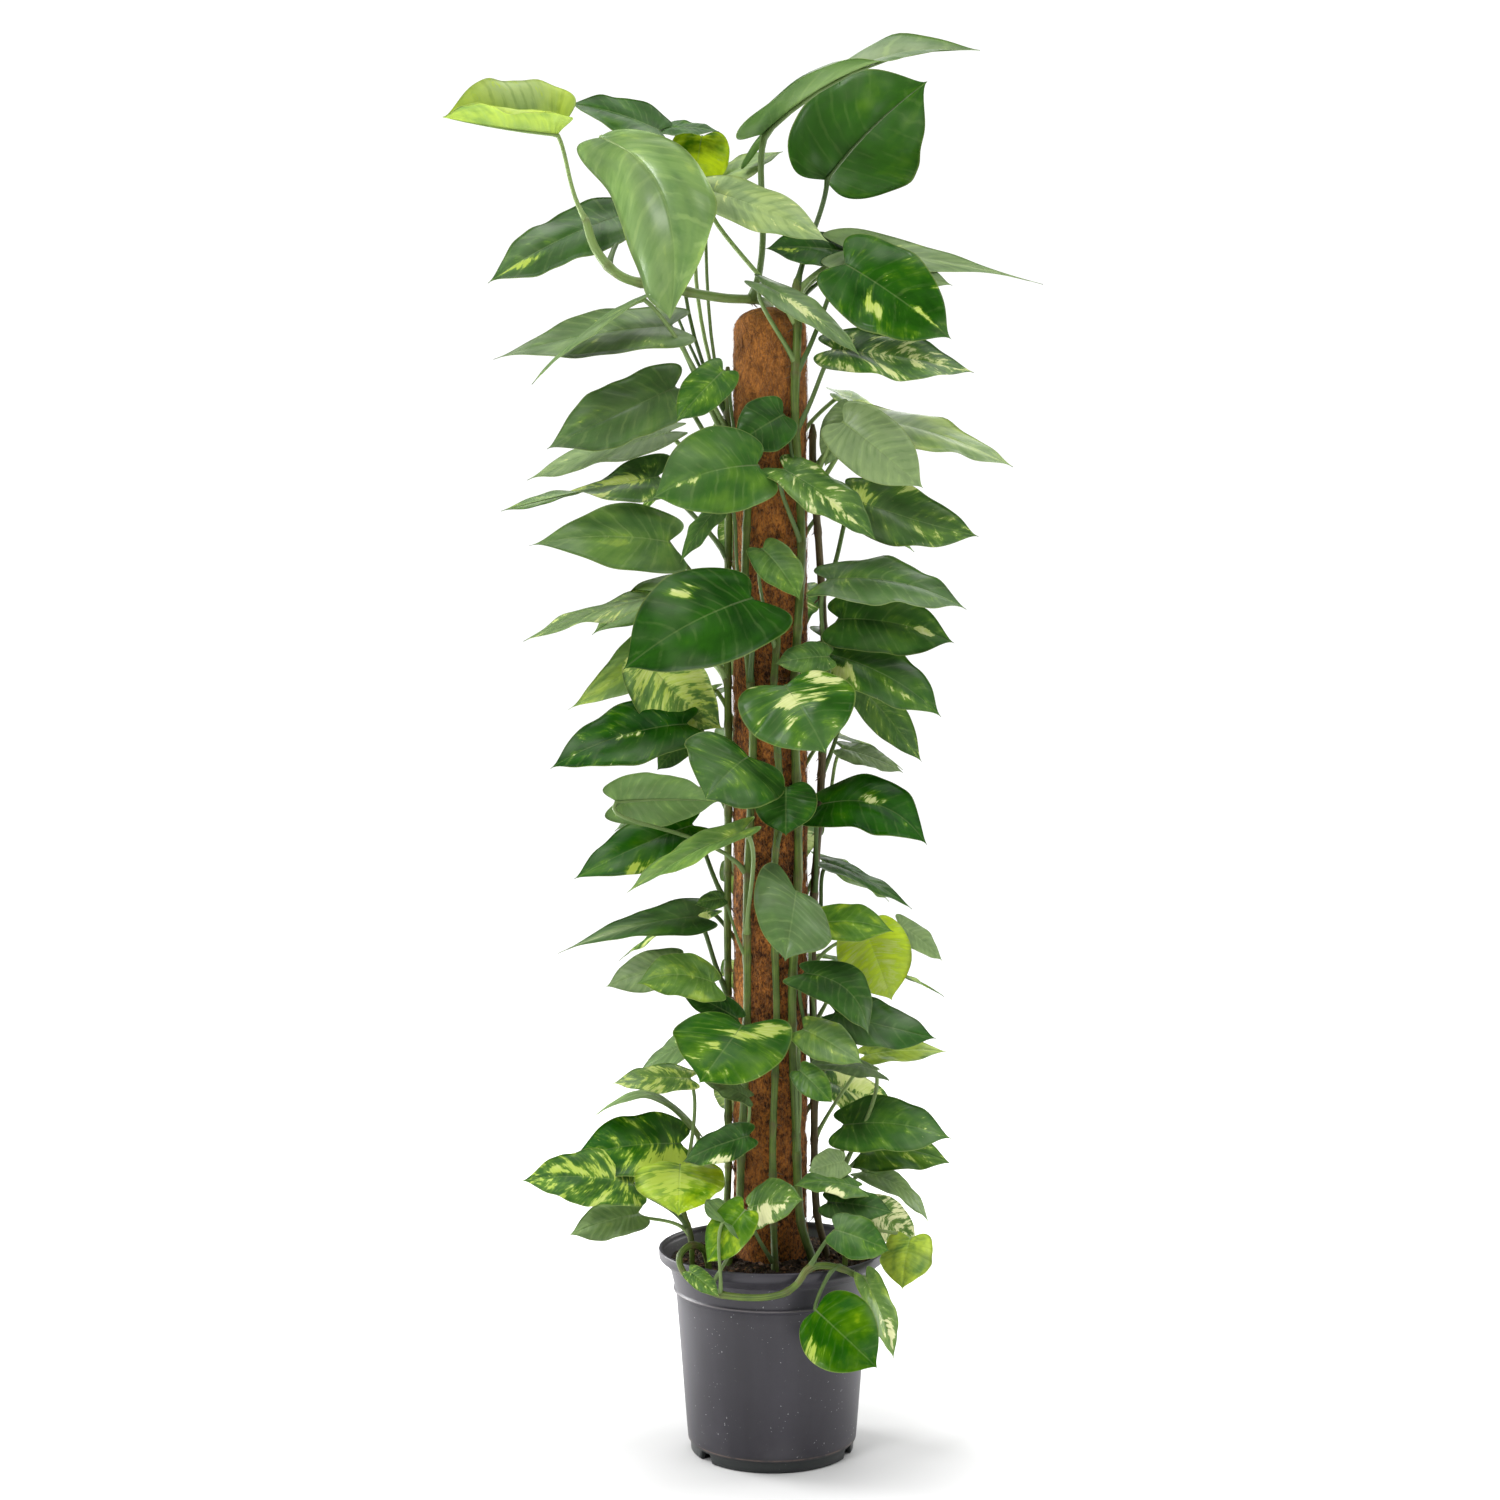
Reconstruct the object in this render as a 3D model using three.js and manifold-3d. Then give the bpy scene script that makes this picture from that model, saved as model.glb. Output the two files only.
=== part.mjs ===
// Golden pothos climbing a coir pole in a round nursery pot. Millimetres, +Z up, +X right, front towards -Y.
// The origin is the middle of the pot's underside.
import * as THREE from "three";
import { mergeVertices } from "three/addons/utils/BufferGeometryUtils.js";
import Module from "manifold-3d";

const wasm = await Module();
wasm.setup();

// Driving dimensions
const GAP = 0.3;
const ROUND_SIDES = 32;

const POT_RIM_RADIUS = 120.5;
const POT_RIM_TOP = 213;
const POT_LIP_BOTTOM = 203;
const POT_COLLAR_TOP_RADIUS = 109;
const POT_COLLAR_TOP = 194;
const POT_RIDGE_HEIGHT = 169;
const POT_RIDGE_RADIUS = 105;
const POT_WALL_TOP_RADIUS = 102.5;
const POT_WALL_FOOT_RADIUS = 89.5;
const POT_FOOT_RADIUS = 86;
const POT_FOOT_HEIGHT = 12;
const POT_PAD_RADIUS = 55;
const POT_WALL = 1.8;
const POT_FLOOR = 3;
const POT_FLOOR_LIFT = 4;
const POT_FOOT_RING = 5;
const POT_FOOT_FLARE = 1.5;
const POT_ROLL = 3.5;
const DRAIN_HOLES = 3;
const DRAIN_TURN = 0.8;
const DRAIN_WIDTH = 16;
const DRAIN_HEIGHT = 9.5;
const DRAIN_CUT = 30;

const SOIL_EDGE_HEIGHT = 199;
const SOIL_MIDDLE_HEIGHT = 208;
const SOIL_CRUMB = 1.6;
const SOIL_MOUND = 1.6;
const SOIL_RINGS = [0.86, 0.62];
const SOIL_CLEAR = 0.5;
const SOIL_SEED = 11;
const HOLE_SIDES = 10;
const HOLE_LENGTH = 120;
const HOLE_BELOW = 3;

const POLE_X = -2;
const POLE_RADIUS = 40;
const POLE_TOP = 1214;
const POLE_FOOT = 30;
const POLE_DOME = 22;
const POLE_RIBS = 9;
const POLE_SIDES = 28;
const POLE_SWELL = 0.8;
const POLE_DOME_STEPS = [30, 60];
const CORE_RADIUS = 16;
const CORE_WALL = 2.5;
const CORE_TOP = 1185;
const CORE_SIDES = 16;

const BLADE_THICKNESS = 1;
const BLADE_STATIONS = [0, 0.05, 0.2, 0.45, 0.75, 1];
const LOBE_DEPTH = 0.18;
const LOBE_PLACE = 0.08;
const STEM_SIDES = 5;
const HOLE_CLEAR = 3.5;
const STALK_STEPS = 3;
const STALK_RADIUS = 1.5;
const STALK_GROWTH = 0.01;
const STALK_LEAD = 1.6;
const STALK_LEAVES = { out: 0.22, rise: 0.34 };
const STALK_ARRIVES = { along: 0.12, under: 0.12, drop: 0.1 };
const STEM_STEP = 52;
const STEM_ROOT_DEPTH = 45;
const STEM_SAMPLES = 400;

// The leaf tables give places as they show from the front, on the upright plane through the pole, from an eye
// at this point, and a depth behind (+) or before (-) that plane. Their heights start this far below the floor.
const EYE = new THREE.Vector3(-23.5, -2200, 742);
const RULE_START = 8;

function seen(x, height, depth) {
  const onPlane = new THREE.Vector3(x, 0, height - RULE_START);
  const reach = (depth - EYE.y) / -EYE.y;
  return EYE.clone().lerp(onPlane, reach);
}

// A seeded draw between 0 and 1.
function drawer(seed) {
  let state = seed;
  return () => {
    state = (state * 1664525 + 1013904223) % 4294967296;
    return state / 4294967296;
  };
}

// Solids and meshes
function solidOf(geometry) {
  const bare = new THREE.BufferGeometry();
  bare.setAttribute("position", geometry.getAttribute("position"));
  bare.setIndex(geometry.index);
  const merged = mergeVertices(bare, 1e-4);
  const corners = new Uint32Array(merged.index.array);
  const make = () =>
    new wasm.Manifold(
      new wasm.Mesh({
        numProp: 3,
        vertProperties: merged.attributes.position.array,
        triVerts: corners,
      }),
    );
  const solid = make();
  if (solid.volume() > 0) return solid;
  for (let i = 0; i < corners.length; i += 3) {
    [corners[i], corners[i + 1]] = [corners[i + 1], corners[i]];
  }
  return make();
}

function joined(solids) {
  return solids.reduce((whole, piece) => whole.add(piece));
}

function meshOf(name, solid, colour, roughness) {
  const { vertProperties, triVerts } = solid.getMesh();
  const geometry = new THREE.BufferGeometry();
  geometry.setAttribute("position", new THREE.BufferAttribute(new Float32Array(vertProperties), 3));
  geometry.setIndex(new THREE.BufferAttribute(new Uint32Array(triVerts), 1));
  geometry.computeVertexNormals();
  const material = new THREE.MeshStandardMaterial({ color: colour, roughness, metalness: 0 });
  const mesh = new THREE.Mesh(geometry, material);
  mesh.name = name;
  return mesh;
}

// A closed profile of [radius, height] points turned about the Z axis.
function turned(profile, sides = ROUND_SIDES) {
  const points = profile.map(([r, z]) => new THREE.Vector2(r, z));
  const geometry = new THREE.LatheGeometry(points, sides);
  geometry.rotateX(Math.PI / 2);
  return geometry;
}

// A round bar with few sides along a smooth curve.
function bar(curve, radius, sides, steps) {
  const corners = Array.from({ length: sides }, (_, i) => {
    const angle = (2 * Math.PI * (i + 0.5)) / sides;
    return new THREE.Vector2(radius * Math.cos(angle), radius * Math.sin(angle));
  });
  const settings = { steps, bevelEnabled: false, extrudePath: curve };
  return solidOf(new THREE.ExtrudeGeometry(new THREE.Shape(corners), settings));
}

// Pot
function potSolid() {
  const shell = solidOf(
    turned([
      [0, 0],
      [POT_PAD_RADIUS, 0],
      [POT_PAD_RADIUS + 2, POT_FLOOR_LIFT],
      [POT_FOOT_RADIUS - POT_FOOT_RING - 1, POT_FLOOR_LIFT],
      [POT_FOOT_RADIUS - POT_FOOT_RING + 1, 0],
      [POT_FOOT_RADIUS - 1, 0],
      [POT_FOOT_RADIUS + POT_FOOT_FLARE, POT_FOOT_HEIGHT - 1],
      [POT_WALL_FOOT_RADIUS, POT_FOOT_HEIGHT],
      [POT_WALL_TOP_RADIUS, POT_RIDGE_HEIGHT - 2],
      [POT_RIDGE_RADIUS, POT_RIDGE_HEIGHT],
      [POT_RIDGE_RADIUS, POT_RIDGE_HEIGHT + 2],
      [POT_RIDGE_RADIUS - 1, POT_RIDGE_HEIGHT + POT_ROLL],
      [POT_COLLAR_TOP_RADIUS, POT_COLLAR_TOP],
      [POT_RIM_RADIUS - 1.5, POT_LIP_BOTTOM],
      [POT_RIM_RADIUS, POT_LIP_BOTTOM + 1],
      [POT_RIM_RADIUS + 0.5, POT_RIM_TOP - 1],
      [POT_RIM_RADIUS - 0.5, POT_RIM_TOP],
      [POT_RIM_RADIUS - 3, POT_RIM_TOP],
      [POT_RIM_RADIUS - POT_ROLL, POT_LIP_BOTTOM + 2],
      [POT_COLLAR_TOP_RADIUS - POT_WALL, POT_COLLAR_TOP],
      [POT_WALL_TOP_RADIUS - POT_WALL, POT_RIDGE_HEIGHT],
      [POT_WALL_FOOT_RADIUS - POT_WALL, POT_FOOT_HEIGHT + 2],
      [POT_FOOT_RADIUS - POT_WALL, POT_FOOT_HEIGHT],
      [POT_FOOT_RADIUS - 2.5, POT_FLOOR_LIFT + POT_FLOOR],
      [POT_PAD_RADIUS + 3, POT_FLOOR_LIFT + POT_FLOOR],
      [POT_PAD_RADIUS, POT_FLOOR],
      [0, POT_FLOOR],
    ]),
  );
  const slot = new THREE.BoxGeometry(DRAIN_CUT, DRAIN_WIDTH, DRAIN_HEIGHT * 2);
  const slots = Array.from({ length: DRAIN_HOLES }, (_, i) => {
    const turn = (2 * Math.PI * (i + DRAIN_TURN)) / DRAIN_HOLES;
    const cutter = slot.clone();
    cutter.translate(POT_FOOT_RADIUS + 2, 0, 0);
    cutter.rotateZ(turn);
    return solidOf(cutter);
  });
  return shell.subtract(joined(slots));
}

// Potting mix, mounded round the pole, with a crumbled top.
function soilSolid() {
  const clear = POT_WALL + GAP + SOIL_CLEAR;
  const floor = POT_FLOOR_LIFT + POT_FLOOR + GAP;
  const footRadius = POT_FOOT_RADIUS - clear;
  const top = SOIL_RINGS.map((share) => {
    const rise = (SOIL_MIDDLE_HEIGHT - SOIL_EDGE_HEIGHT) * (1 - share) * SOIL_MOUND;
    return [POT_RIM_RADIUS * share, SOIL_EDGE_HEIGHT + rise];
  });
  const lower = [
    [0, POT_FLOOR + GAP],
    [POT_PAD_RADIUS - GAP, POT_FLOOR + GAP],
    [POT_PAD_RADIUS + 3, floor],
    [footRadius - 1, floor],
    [footRadius, POT_FOOT_HEIGHT],
    [POT_WALL_FOOT_RADIUS - clear, POT_FOOT_HEIGHT + 3],
    [POT_WALL_TOP_RADIUS - clear, POT_RIDGE_HEIGHT],
    [POT_COLLAR_TOP_RADIUS - clear - 0.4, POT_COLLAR_TOP],
    [POT_COLLAR_TOP_RADIUS + 1, SOIL_EDGE_HEIGHT - 1],
  ];
  const profile = [...lower, ...top, [0, SOIL_MIDDLE_HEIGHT]];
  const geometry = turned(profile);
  const draw = drawer(SOIL_SEED);
  const points = geometry.getAttribute("position");
  const bumps = Array.from({ length: top.length * ROUND_SIDES }, () => SOIL_CRUMB * (2 * draw() - 1));
  for (let i = 0; i < points.count; i += 1) {
    const column = Math.floor(i / profile.length) % ROUND_SIDES;
    const row = (i % profile.length) - lower.length;
    if (row >= 0 && row < top.length) {
      points.setZ(i, points.getZ(i) + bumps[row * ROUND_SIDES + column]);
    }
  }
  return solidOf(geometry);
}

// Coir pole: a plastic tube with a thick coir sleeve, closed by a dome of coir on top.
function coreSolid() {
  const geometry = turned(
    [
      [CORE_RADIUS - CORE_WALL, POLE_FOOT],
      [CORE_RADIUS, POLE_FOOT],
      [CORE_RADIUS, CORE_TOP],
      [CORE_RADIUS - CORE_WALL, CORE_TOP],
      [CORE_RADIUS - CORE_WALL, POLE_FOOT],
    ],
    CORE_SIDES,
  );
  geometry.translate(POLE_X, 0, 0);
  return solidOf(geometry);
}

function coirSolid() {
  const bore = CORE_RADIUS + GAP;
  const shoulder = POLE_TOP - POLE_DOME;
  const wall = Array.from({ length: POLE_RIBS + 1 }, (_, i) => {
    const swell = i % 2 ? POLE_SWELL : 0;
    return [POLE_RADIUS - swell, POLE_FOOT + ((shoulder - POLE_FOOT) * i) / POLE_RIBS];
  });
  const dome = POLE_DOME_STEPS.map((degrees) => {
    const angle = (degrees * Math.PI) / 180;
    return [POLE_RADIUS * Math.cos(angle), shoulder + POLE_DOME * Math.sin(angle)];
  });
  const inside = [[0, POLE_TOP], [0, CORE_TOP + GAP], [bore, CORE_TOP + GAP], [bore, POLE_FOOT]];
  const geometry = turned([[bore, POLE_FOOT], ...wall, ...dome, ...inside], POLE_SIDES);
  geometry.translate(POLE_X, 0, 0);
  return solidOf(geometry);
}

// Stems. A climbing stem is a list of [degrees from the front towards the right, distance from the pole's axis,
// height]; a free stem is a list of [x, y, height].
const CLING = 45.5;

function climbing(points) {
  return points.map(([degrees, radius, z]) => {
    const angle = (degrees * Math.PI) / 180;
    return new THREE.Vector3(POLE_X + radius * Math.sin(angle), -radius * Math.cos(angle), z);
  });
}

function free(points) {
  return points.map(([x, y, z]) => new THREE.Vector3(x, y, z));
}

// Leaves of the side away from the front: stalks leave the stem at even heights, swing to either side of it by
// turns, and their blades droop outwards.
const BACK = {
  first: 330,
  last: 1130,
  swing: 19,
  above: 30,
  out: 74,
  length: 95,
  width: 0.66,
  turn: 30,
  fold: 0.14,
  arch: 0.06,
  sight: 1000,
};

function backLeaves(degrees, count, seed) {
  const draw = drawer(seed);
  return Array.from({ length: count }, (_, i) => {
    const z = BACK.first + ((BACK.last - BACK.first) * (i + 0.5 * draw())) / count;
    const side = i % 2 ? 1 : -1;
    const angle = ((degrees + side * BACK.swing * (0.7 + 0.5 * draw())) * Math.PI) / 180;
    const outward = new THREE.Vector3(Math.sin(angle), -Math.cos(angle), 0);
    const aside = new THREE.Vector3(-outward.y, outward.x, 0).multiplyScalar(side * (0.2 + 0.3 * draw()));
    const length = BACK.length + 55 * draw();
    const lean = outward.clone().add(aside).setZ(-0.35 - 0.5 * draw()).normalize();
    const base = new THREE.Vector3(POLE_X, 0, z + BACK.above + 16 * draw());
    base.addScaledVector(outward, BACK.out + 22 * draw());
    const tip = base.clone().addScaledVector(lean, length);
    const watched = base.clone().addScaledVector(outward, BACK.sight);
    const turn = BACK.turn + 30 * draw();
    const width = BACK.width * length;
    return { node: z, base, tip, width, turn, fold: BACK.fold, arch: BACK.arch, bow: 0, watched };
  });
}

// Leaf rows: name, height where the stalk leaves its stem, base [x, height, depth], tip [x, height, depth],
// width, turn of the upper face from the viewer towards the sky in degrees, fold, arch, sideways bow, and for
// some a taper, which draws the tip out, a skew, which sets one lobe back and the other forward, a twist, the
// degrees that the turn gains from base to tip, and how deep the lobes lie behind the notch.
const VINES = [
  {
    name: "vine_back_left",
    radius: 4.4,
    colour: 0x4f7f2e,
    path: climbing([
      [-138, 60, 205], [-138, 48, 250], [-130, CLING, 420], [-142, CLING, 600], [-132, CLING, 800],
      [-144, CLING, 980], [-138, CLING, 1130],
    ]),
    leaves: backLeaves(-146, 13, 5),
  },
  {
    name: "vine_back_right",
    radius: 4.4,
    colour: 0x4f7f2e,
    path: climbing([
      [138, 60, 205], [138, 48, 250], [144, CLING, 420], [132, CLING, 600], [142, CLING, 800],
      [132, CLING, 980], [140, CLING, 1130],
    ]),
    leaves: backLeaves(146, 13, 8),
  },
  {
    name: "vine_top",
    radius: 5.2,
    step: 30,
    colour: 0x5d8a34,
    path: [
      ...climbing([[178, 62, 205], [176, 48, 250], [172, 46.5, 420], [188, 46.5, 640], [176, 46.5, 860]]),
      ...climbing([[190, 46.5, 1060], [184, 47, 1184], [180, 44, 1207], [182, 26, 1220]]),
      ...free([[-14, 0, 1222], [-52, -16, 1221], [-108, -26, 1229], [-160, -26, 1242], [-186, -24, 1270]]),
      ...free([[-198, -20, 1305]]),
    ],
    leaves: [
      ["T1", 0.998, [-228, 1408, -10], [-352, 1426, -20], 70, 61, 2.4, -0.02, 0],
      ["T2", 0.905, [-184, 1404, -34], [-109, 1209, -92], 80, -30, 0.3, 0.04, 0.22, -0.55, 0.1, 0, 0.04],
      ["T6", 0.955, [-165, 1320, 30], [-304, 1248, 20], 94, 54, 0.15, 0.06, 0.02],
      ["T9", 0.835, [-10, 1407, -20], [223, 1497, -10], 116, 84, 0.5, 0.11, 0, 0, 0, -60],
    ],
  },
  {
    name: "vine_left",
    radius: 4.4,
    colour: 0x4f7f2e,
    path: climbing([
      [-88, 60, 205], [-86, 48, 245], [-80, CLING, 400], [-92, CLING, 560], [-78, CLING, 720],
      [-90, CLING, 880], [-76, CLING, 1030], [-84, CLING, 1150],
    ]),
    leaves: [
      ["T3", 1105, [-120, 1412, 10], [-217, 1440, 10], 62, 55, 0.3, 0.05, 0],
      ["T3b", 1103, [-116, 1414, 18], [-56, 1410, 20], 34, 66, 0.1, 0.05, 0],
      ["T4", 1107, [-75, 1405, 34], [-85, 1340, 34], 68, 10, 0.1, 0.05, 0],
      ["T5a", 1101, [-75, 1348, 34], [12, 1389, 44], 55, 62, 0.2, 0.04, 0],
      ["T8", 1085, [-138, 1233, -66], [-257, 1140, -76], 50, 82, 0.1, 0.05, 0],
      ["T7", 1075, [-108, 1203, -30], [-298, 1167, -30], 112, 58, 0.15, 0.04, 0, 0.45],
      ["L1", 1045, [-104, 1137, 0], [-241, 1071, -10], 92, 42, 0.15, 0.06, 0.04],
      ["L2", 1005, [-110, 1090, 40], [-262, 1038, 50], 90, 72, 0.1, 0.03, 0],
      ["L3", 955, [-122, 1042, 0], [-290, 1005, -10], 92, 88, 0.1, 0.02, 0.03, 0.2, 0, 80],
      ["L4", 885, [-110, 972, -20], [-260, 968, -40], 100, 28, 0.15, 0.06, -0.03, 0.5],
      ["L7", 825, [-110, 915, -2], [-266, 866, -14], 95, 78, 0.15, 0.04, 0],
      ["L6", 820, [-110, 870, 56], [-218, 793, 60], 80, 34, 0.12, 0.05, 0.06, 0.5],
      ["L8", 735, [-135, 850, -4], [-52, 772, 0], 88, 20, 0.1, 0.05, -0.08],
      ["L9", 695, [-92, 778, -30], [-237, 730, -40], 95, 48, 0.2, 0.05, -0.04],
      ["L10", 685, [-90, 765, 4], [-123, 728, 4], 32, 20, 0.1, 0.05, 0],
      ["L12", 585, [-86, 670, 0], [-212, 612, -20], 80, 48, 0.15, 0.05, 0.02],
      ["L14", 490, [-80, 573, -20], [-229, 533, -30], 96, 58, 0.2, 0.05, 0, 1],
      ["L16", 435, [-100, 523, -30], [-178, 497, -46], 46, 22, 0.1, 0.05, 0],
    ],
  },
  {
    name: "vine_front_left",
    radius: 4.6,
    colour: 0x5d8a34,
    path: climbing([
      [-46, 62, 205], [-46, 48, 245], [-42, CLING, 320], [-33, CLING, 460], [-33, CLING, 590],
      [-24, CLING, 760], [-36, CLING, 900], [-28, CLING, 1060],
    ]),
    leaves: [
      ["F1", 1010, [-16, 1054, -88], [-128, 1018, -104], 92, 12, 0.12, 0.07, -0.06],
      ["L0", 1032, [-52, 1155, -58], [-103, 1100, -72], 48, 20, 0.1, 0.05, 0],
      ["L5", 900, [-50, 1018, -58], [-98, 950, -60], 45, 60, 0.1, 0.05, 0],
      ["F3", 820, [-22, 912, -84], [-160, 835, -112], 108, 10, 0.1, 0.07, -0.04, 0, -0.12],
      ["F5", 670, [-25, 743, -74], [-72, 696, -124], 108, 0, 0.1, 0.06, -0.04, 0, -0.25],
      ["L11", 620, [-166, 695, -62], [-56, 695, -70], 64, 150, 0.15, 0.05, 0],
      ["L13", 555, [-30, 665, -84], [-155, 598, -92], 60, 66, 0.4, 0.03, 0],
      ["L15", 530, [-52, 592, -50], [-82, 585, -55], 22, 30, 0.1, 0.05, 0],
      ["L17", 440, [-62, 502, -62], [-145, 500, -84], 60, 36, 0.15, 0.05, -0.1],
      ["L18", 410, [-37, 464, -56], [-101, 494, -66], 36, 34, 0.15, 0.05, 0],
      ["F9", 390, [-32, 456, -78], [-78, 394, -118], 108, 4, 0.1, 0.04, 0, 0, -0.38, 0, 0.26],
      ["F15", 320, [-25, 380, -66], [-75, 397, -70], 40, 60, 0.1, 0.05, 0],
    ],
  },
  {
    name: "vine_front_mid",
    radius: 4,
    colour: 0x5d8a34,
    path: climbing([
      [4, 64, 205], [4, 48, 240], [3, CLING, 330], [8, CLING, 460], [4, CLING, 600], [12, CLING, 700],
      [4, CLING, 800], [10, CLING, 866],
    ]),
    leaves: [
      ["F8", 855, [-10, 965, -66], [30, 910, -84], 50, 30, 0.25, 0.08, 0],
      ["F4", 745, [14, 819, -86], [58, 746, -118], 114, 4, 0.1, 0.07, 0.02, 0, 0.2],
      ["F7", 645, [15, 710, -64], [15, 658, -80], 66, 8, 0.1, 0.05, 0],
      ["F10", 535, [26, 599, -82], [14, 524, -118], 86, 0, 0.16, 0.05, 0, 0, 0.42, 0, 0.2],
      ["F11", 215, [-25, 262, -70], [34, 270, -96], 62, 40, 0.1, 0.06, 0],
    ],
  },
  {
    name: "vine_front_right",
    radius: 5,
    colour: 0x6a9a40,
    path: climbing([
      [44, 64, 205], [42, 48, 245], [36, CLING, 350], [30, CLING, 480], [40, CLING, 620], [34, CLING, 800],
      [46, CLING, 960], [34, 45.8, 1100], [38, 46, 1190], [34, 48, 1236],
    ]),
    leaves: [
      ["T10", 1236, [57, 1358, 64], [166, 1464, 104], 146, 156, 0.15, 0.04, -0.02, -0.1, 0.24, 0, 0.1],
      ["T5b", 1195, [-66, 1347, -56], [61, 1292, -80], 60, 40, 0.12, 0.05, 0],
      ["T11", 1222, [80, 1280, -14], [193, 1246, -34], 60, 42, 0.15, 0.05, -0.05],
      ["T14", 1216, [80, 1282, -10], [-8, 1285, -44], 52, 42, 0.12, 0.05, 0],
      ["T15", 1228, [80, 1285, -26], [290, 1247, -6], 100, 50, 0.12, 0.03, 0, 1.6],
      ["T12", 1155, [-10, 1248, -66], [95, 1170, -78], 48, 58, 0.1, 0.05, 0],
      ["T13", 1145, [78, 1269, -54], [192, 1188, -62], 100, 22, 0.12, 0.06, 0],
      ["R4", 1085, [65, 1178, -34], [216, 1153, -40], 92, 60, 0.18, 0.05, -0.04],
      ["F1b", 965, [13, 1050, -63], [112, 973, -80], 84, 58, 0.2, 0.05, 0],
      ["F2", 1025, [12, 1108, -56], [-40, 1076, -60], 60, 14, 0.1, 0.05, 0],
      ["F6", 765, [60, 850, -68], [3, 842, -72], 44, 40, 0.1, 0.05, 0],
      ["R22", 345, [34, 452, -56], [97, 415, -80], 50, 30, 0.1, 0.05, 0],
      ["R24", 325, [30, 408, -66], [65, 373, -82], 32, 10, 0.1, 0.05, 0],
    ],
  },
  {
    name: "vine_right",
    radius: 4.4,
    colour: 0x4c3a26,
    path: climbing([
      [84, 60, 205], [84, 50, 250], [90, 47, 400], [82, 46, 560], [90, 54, 700], [84, 58, 840], [90, 52, 960],
      [82, 46, 1040], [92, CLING, 1090],
    ]),
    leaves: [
      ["R5", 1025, [97, 1105, -10], [258, 1052, -20], 92, 68, 0.12, 0.04, 0.03],
      ["R6", 1035, [76, 1100, -40], [162, 1029, -60], 72, 16, 0.12, 0.05, 0],
      ["R5b", 1047, [84, 1114, -20], [56, 1052, -14], 44, 20, 0.1, 0.05, 0],
      ["R7", 915, [88, 1018, 10], [221, 978, 0], 88, 44, 0.15, 0.05, -0.07],
      ["R9", 835, [60, 932, -56], [208, 900, -66], 96, 60, 0.15, 0.06, 0.07],
      ["R10", 795, [72, 890, -30], [195, 864, -30], 84, 36, 0.12, 0.05, 0.04],
      ["R11", 745, [64, 852, -24], [181, 785, -56], 86, 46, 0.15, 0.05, 0.05],
      ["R12", 725, [92, 820, 20], [160, 737, 16], 48, 28, 0.1, 0.05, 0],
      ["R13", 665, [75, 752, 0], [140, 726, 0], 45, 60, 0.1, 0.05, 0],
      ["R14", 595, [55, 693, -40], [166, 648, -60], 84, 42, 0.15, 0.06, 0.18],
      ["R15", 545, [60, 630, 0], [150, 580, -4], 45, 70, 0.1, 0.05, 0],
      ["R17", 455, [100, 558, 10], [128, 482, 0], 80, 4, 0.12, 0.05, 0],
      ["R18", 520, [135, 565, 40], [182, 525, 40], 40, 50, 0.1, 0.05, 0],
      ["R16", 455, [48, 565, -54], [130, 556, -60], 55, 42, 0.1, 0.05, 0.06],
      ["R19", 405, [36, 512, -60], [103, 445, -72], 58, 30, 0.12, 0.05, 0.2],
      ["R20", 375, [68, 470, -20], [176, 442, -30], 70, 44, 0.15, 0.05, -0.06],
      ["R21", 335, [100, 425, 36], [187, 428, 34], 45, 58, 0.1, 0.05, 0],
    ],
  },
  {
    name: "vine_low_left",
    radius: 3.2,
    colour: 0x6a9a40,
    path: free([[-84, -34, 200], [-86, -36, 232], [-94, -34, 262], [-90, -30, 300]]),
    leaves: [
      ["L27", 305, [-88, 400, -20], [-171, 394, -30], 46, 50, 0.1, 0.05, 0],
      ["L28", 300, [-80, 343, 14], [-196, 353, 10], 48, 77, 0.1, 0.3, 0],
      ["L21", 296, [-98, 330, -6], [-214, 314, -22], 88, 38, 0.15, 0.07, 0],
      ["L19", 250, [-148, 288, -44], [-268, 290, -56], 80, 44, 0.2, 0.07, 0],
      ["L20", 290, [-98, 308, -42], [-100, 252, -118], 94, 0, 0.08, 0.06, 0],
      ["L22", 240, [-143, 256, -20], [-217, 232, -34], 52, 40, 0.1, 0.05, 0],
      ["L23", 302, [-26, 338, -72], [-96, 310, -62], 46, 40, 0.1, 0.05, 0],
    ],
  },
  {
    name: "vine_low_right",
    radius: 3.2,
    colour: 0x6a9a40,
    path: free([[76, -38, 200], [77, -38, 232], [72, -34, 268], [76, -30, 310]]),
    leaves: [
      ["R23", 312, [112, 408, -10], [35, 412, -60], 44, 60, 0.1, 0.06, 0],
      ["R25", 306, [77, 350, -14], [192, 335, -30], 80, 42, 0.12, 0.06, 0.04],
      ["R26", 290, [96, 320, 14], [192, 308, 10], 56, 40, 0.1, 0.05, 0.08],
      ["R27", 270, [98, 300, 20], [168, 244, 20], 46, 62, 0.1, 0.15, 0],
      ["R28", 277, [92, 284, -70], [23, 285, -86], 52, 60, 0.1, 0.08, 0],
      ["R29", 291, [77, 311, -52], [38, 300, -62], 38, 30, 0.1, 0.05, 0],
      ["R30", 250, [60, 268, -66], [130, 256, -80], 46, 40, 0.1, 0.05, 0],
      ["R32", 240, [104, 262, -24], [155, 223, -34], 48, 24, 0.1, 0.05, 0],
      ["R33", 236, [147, 229, -64], [139, 174, -83], 64, 33, 0.12, 0.05, 0],
    ],
  },
  {
    name: "vine_trailing",
    radius: 3.8,
    step: 13,
    colour: 0x5d8a34,
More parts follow.
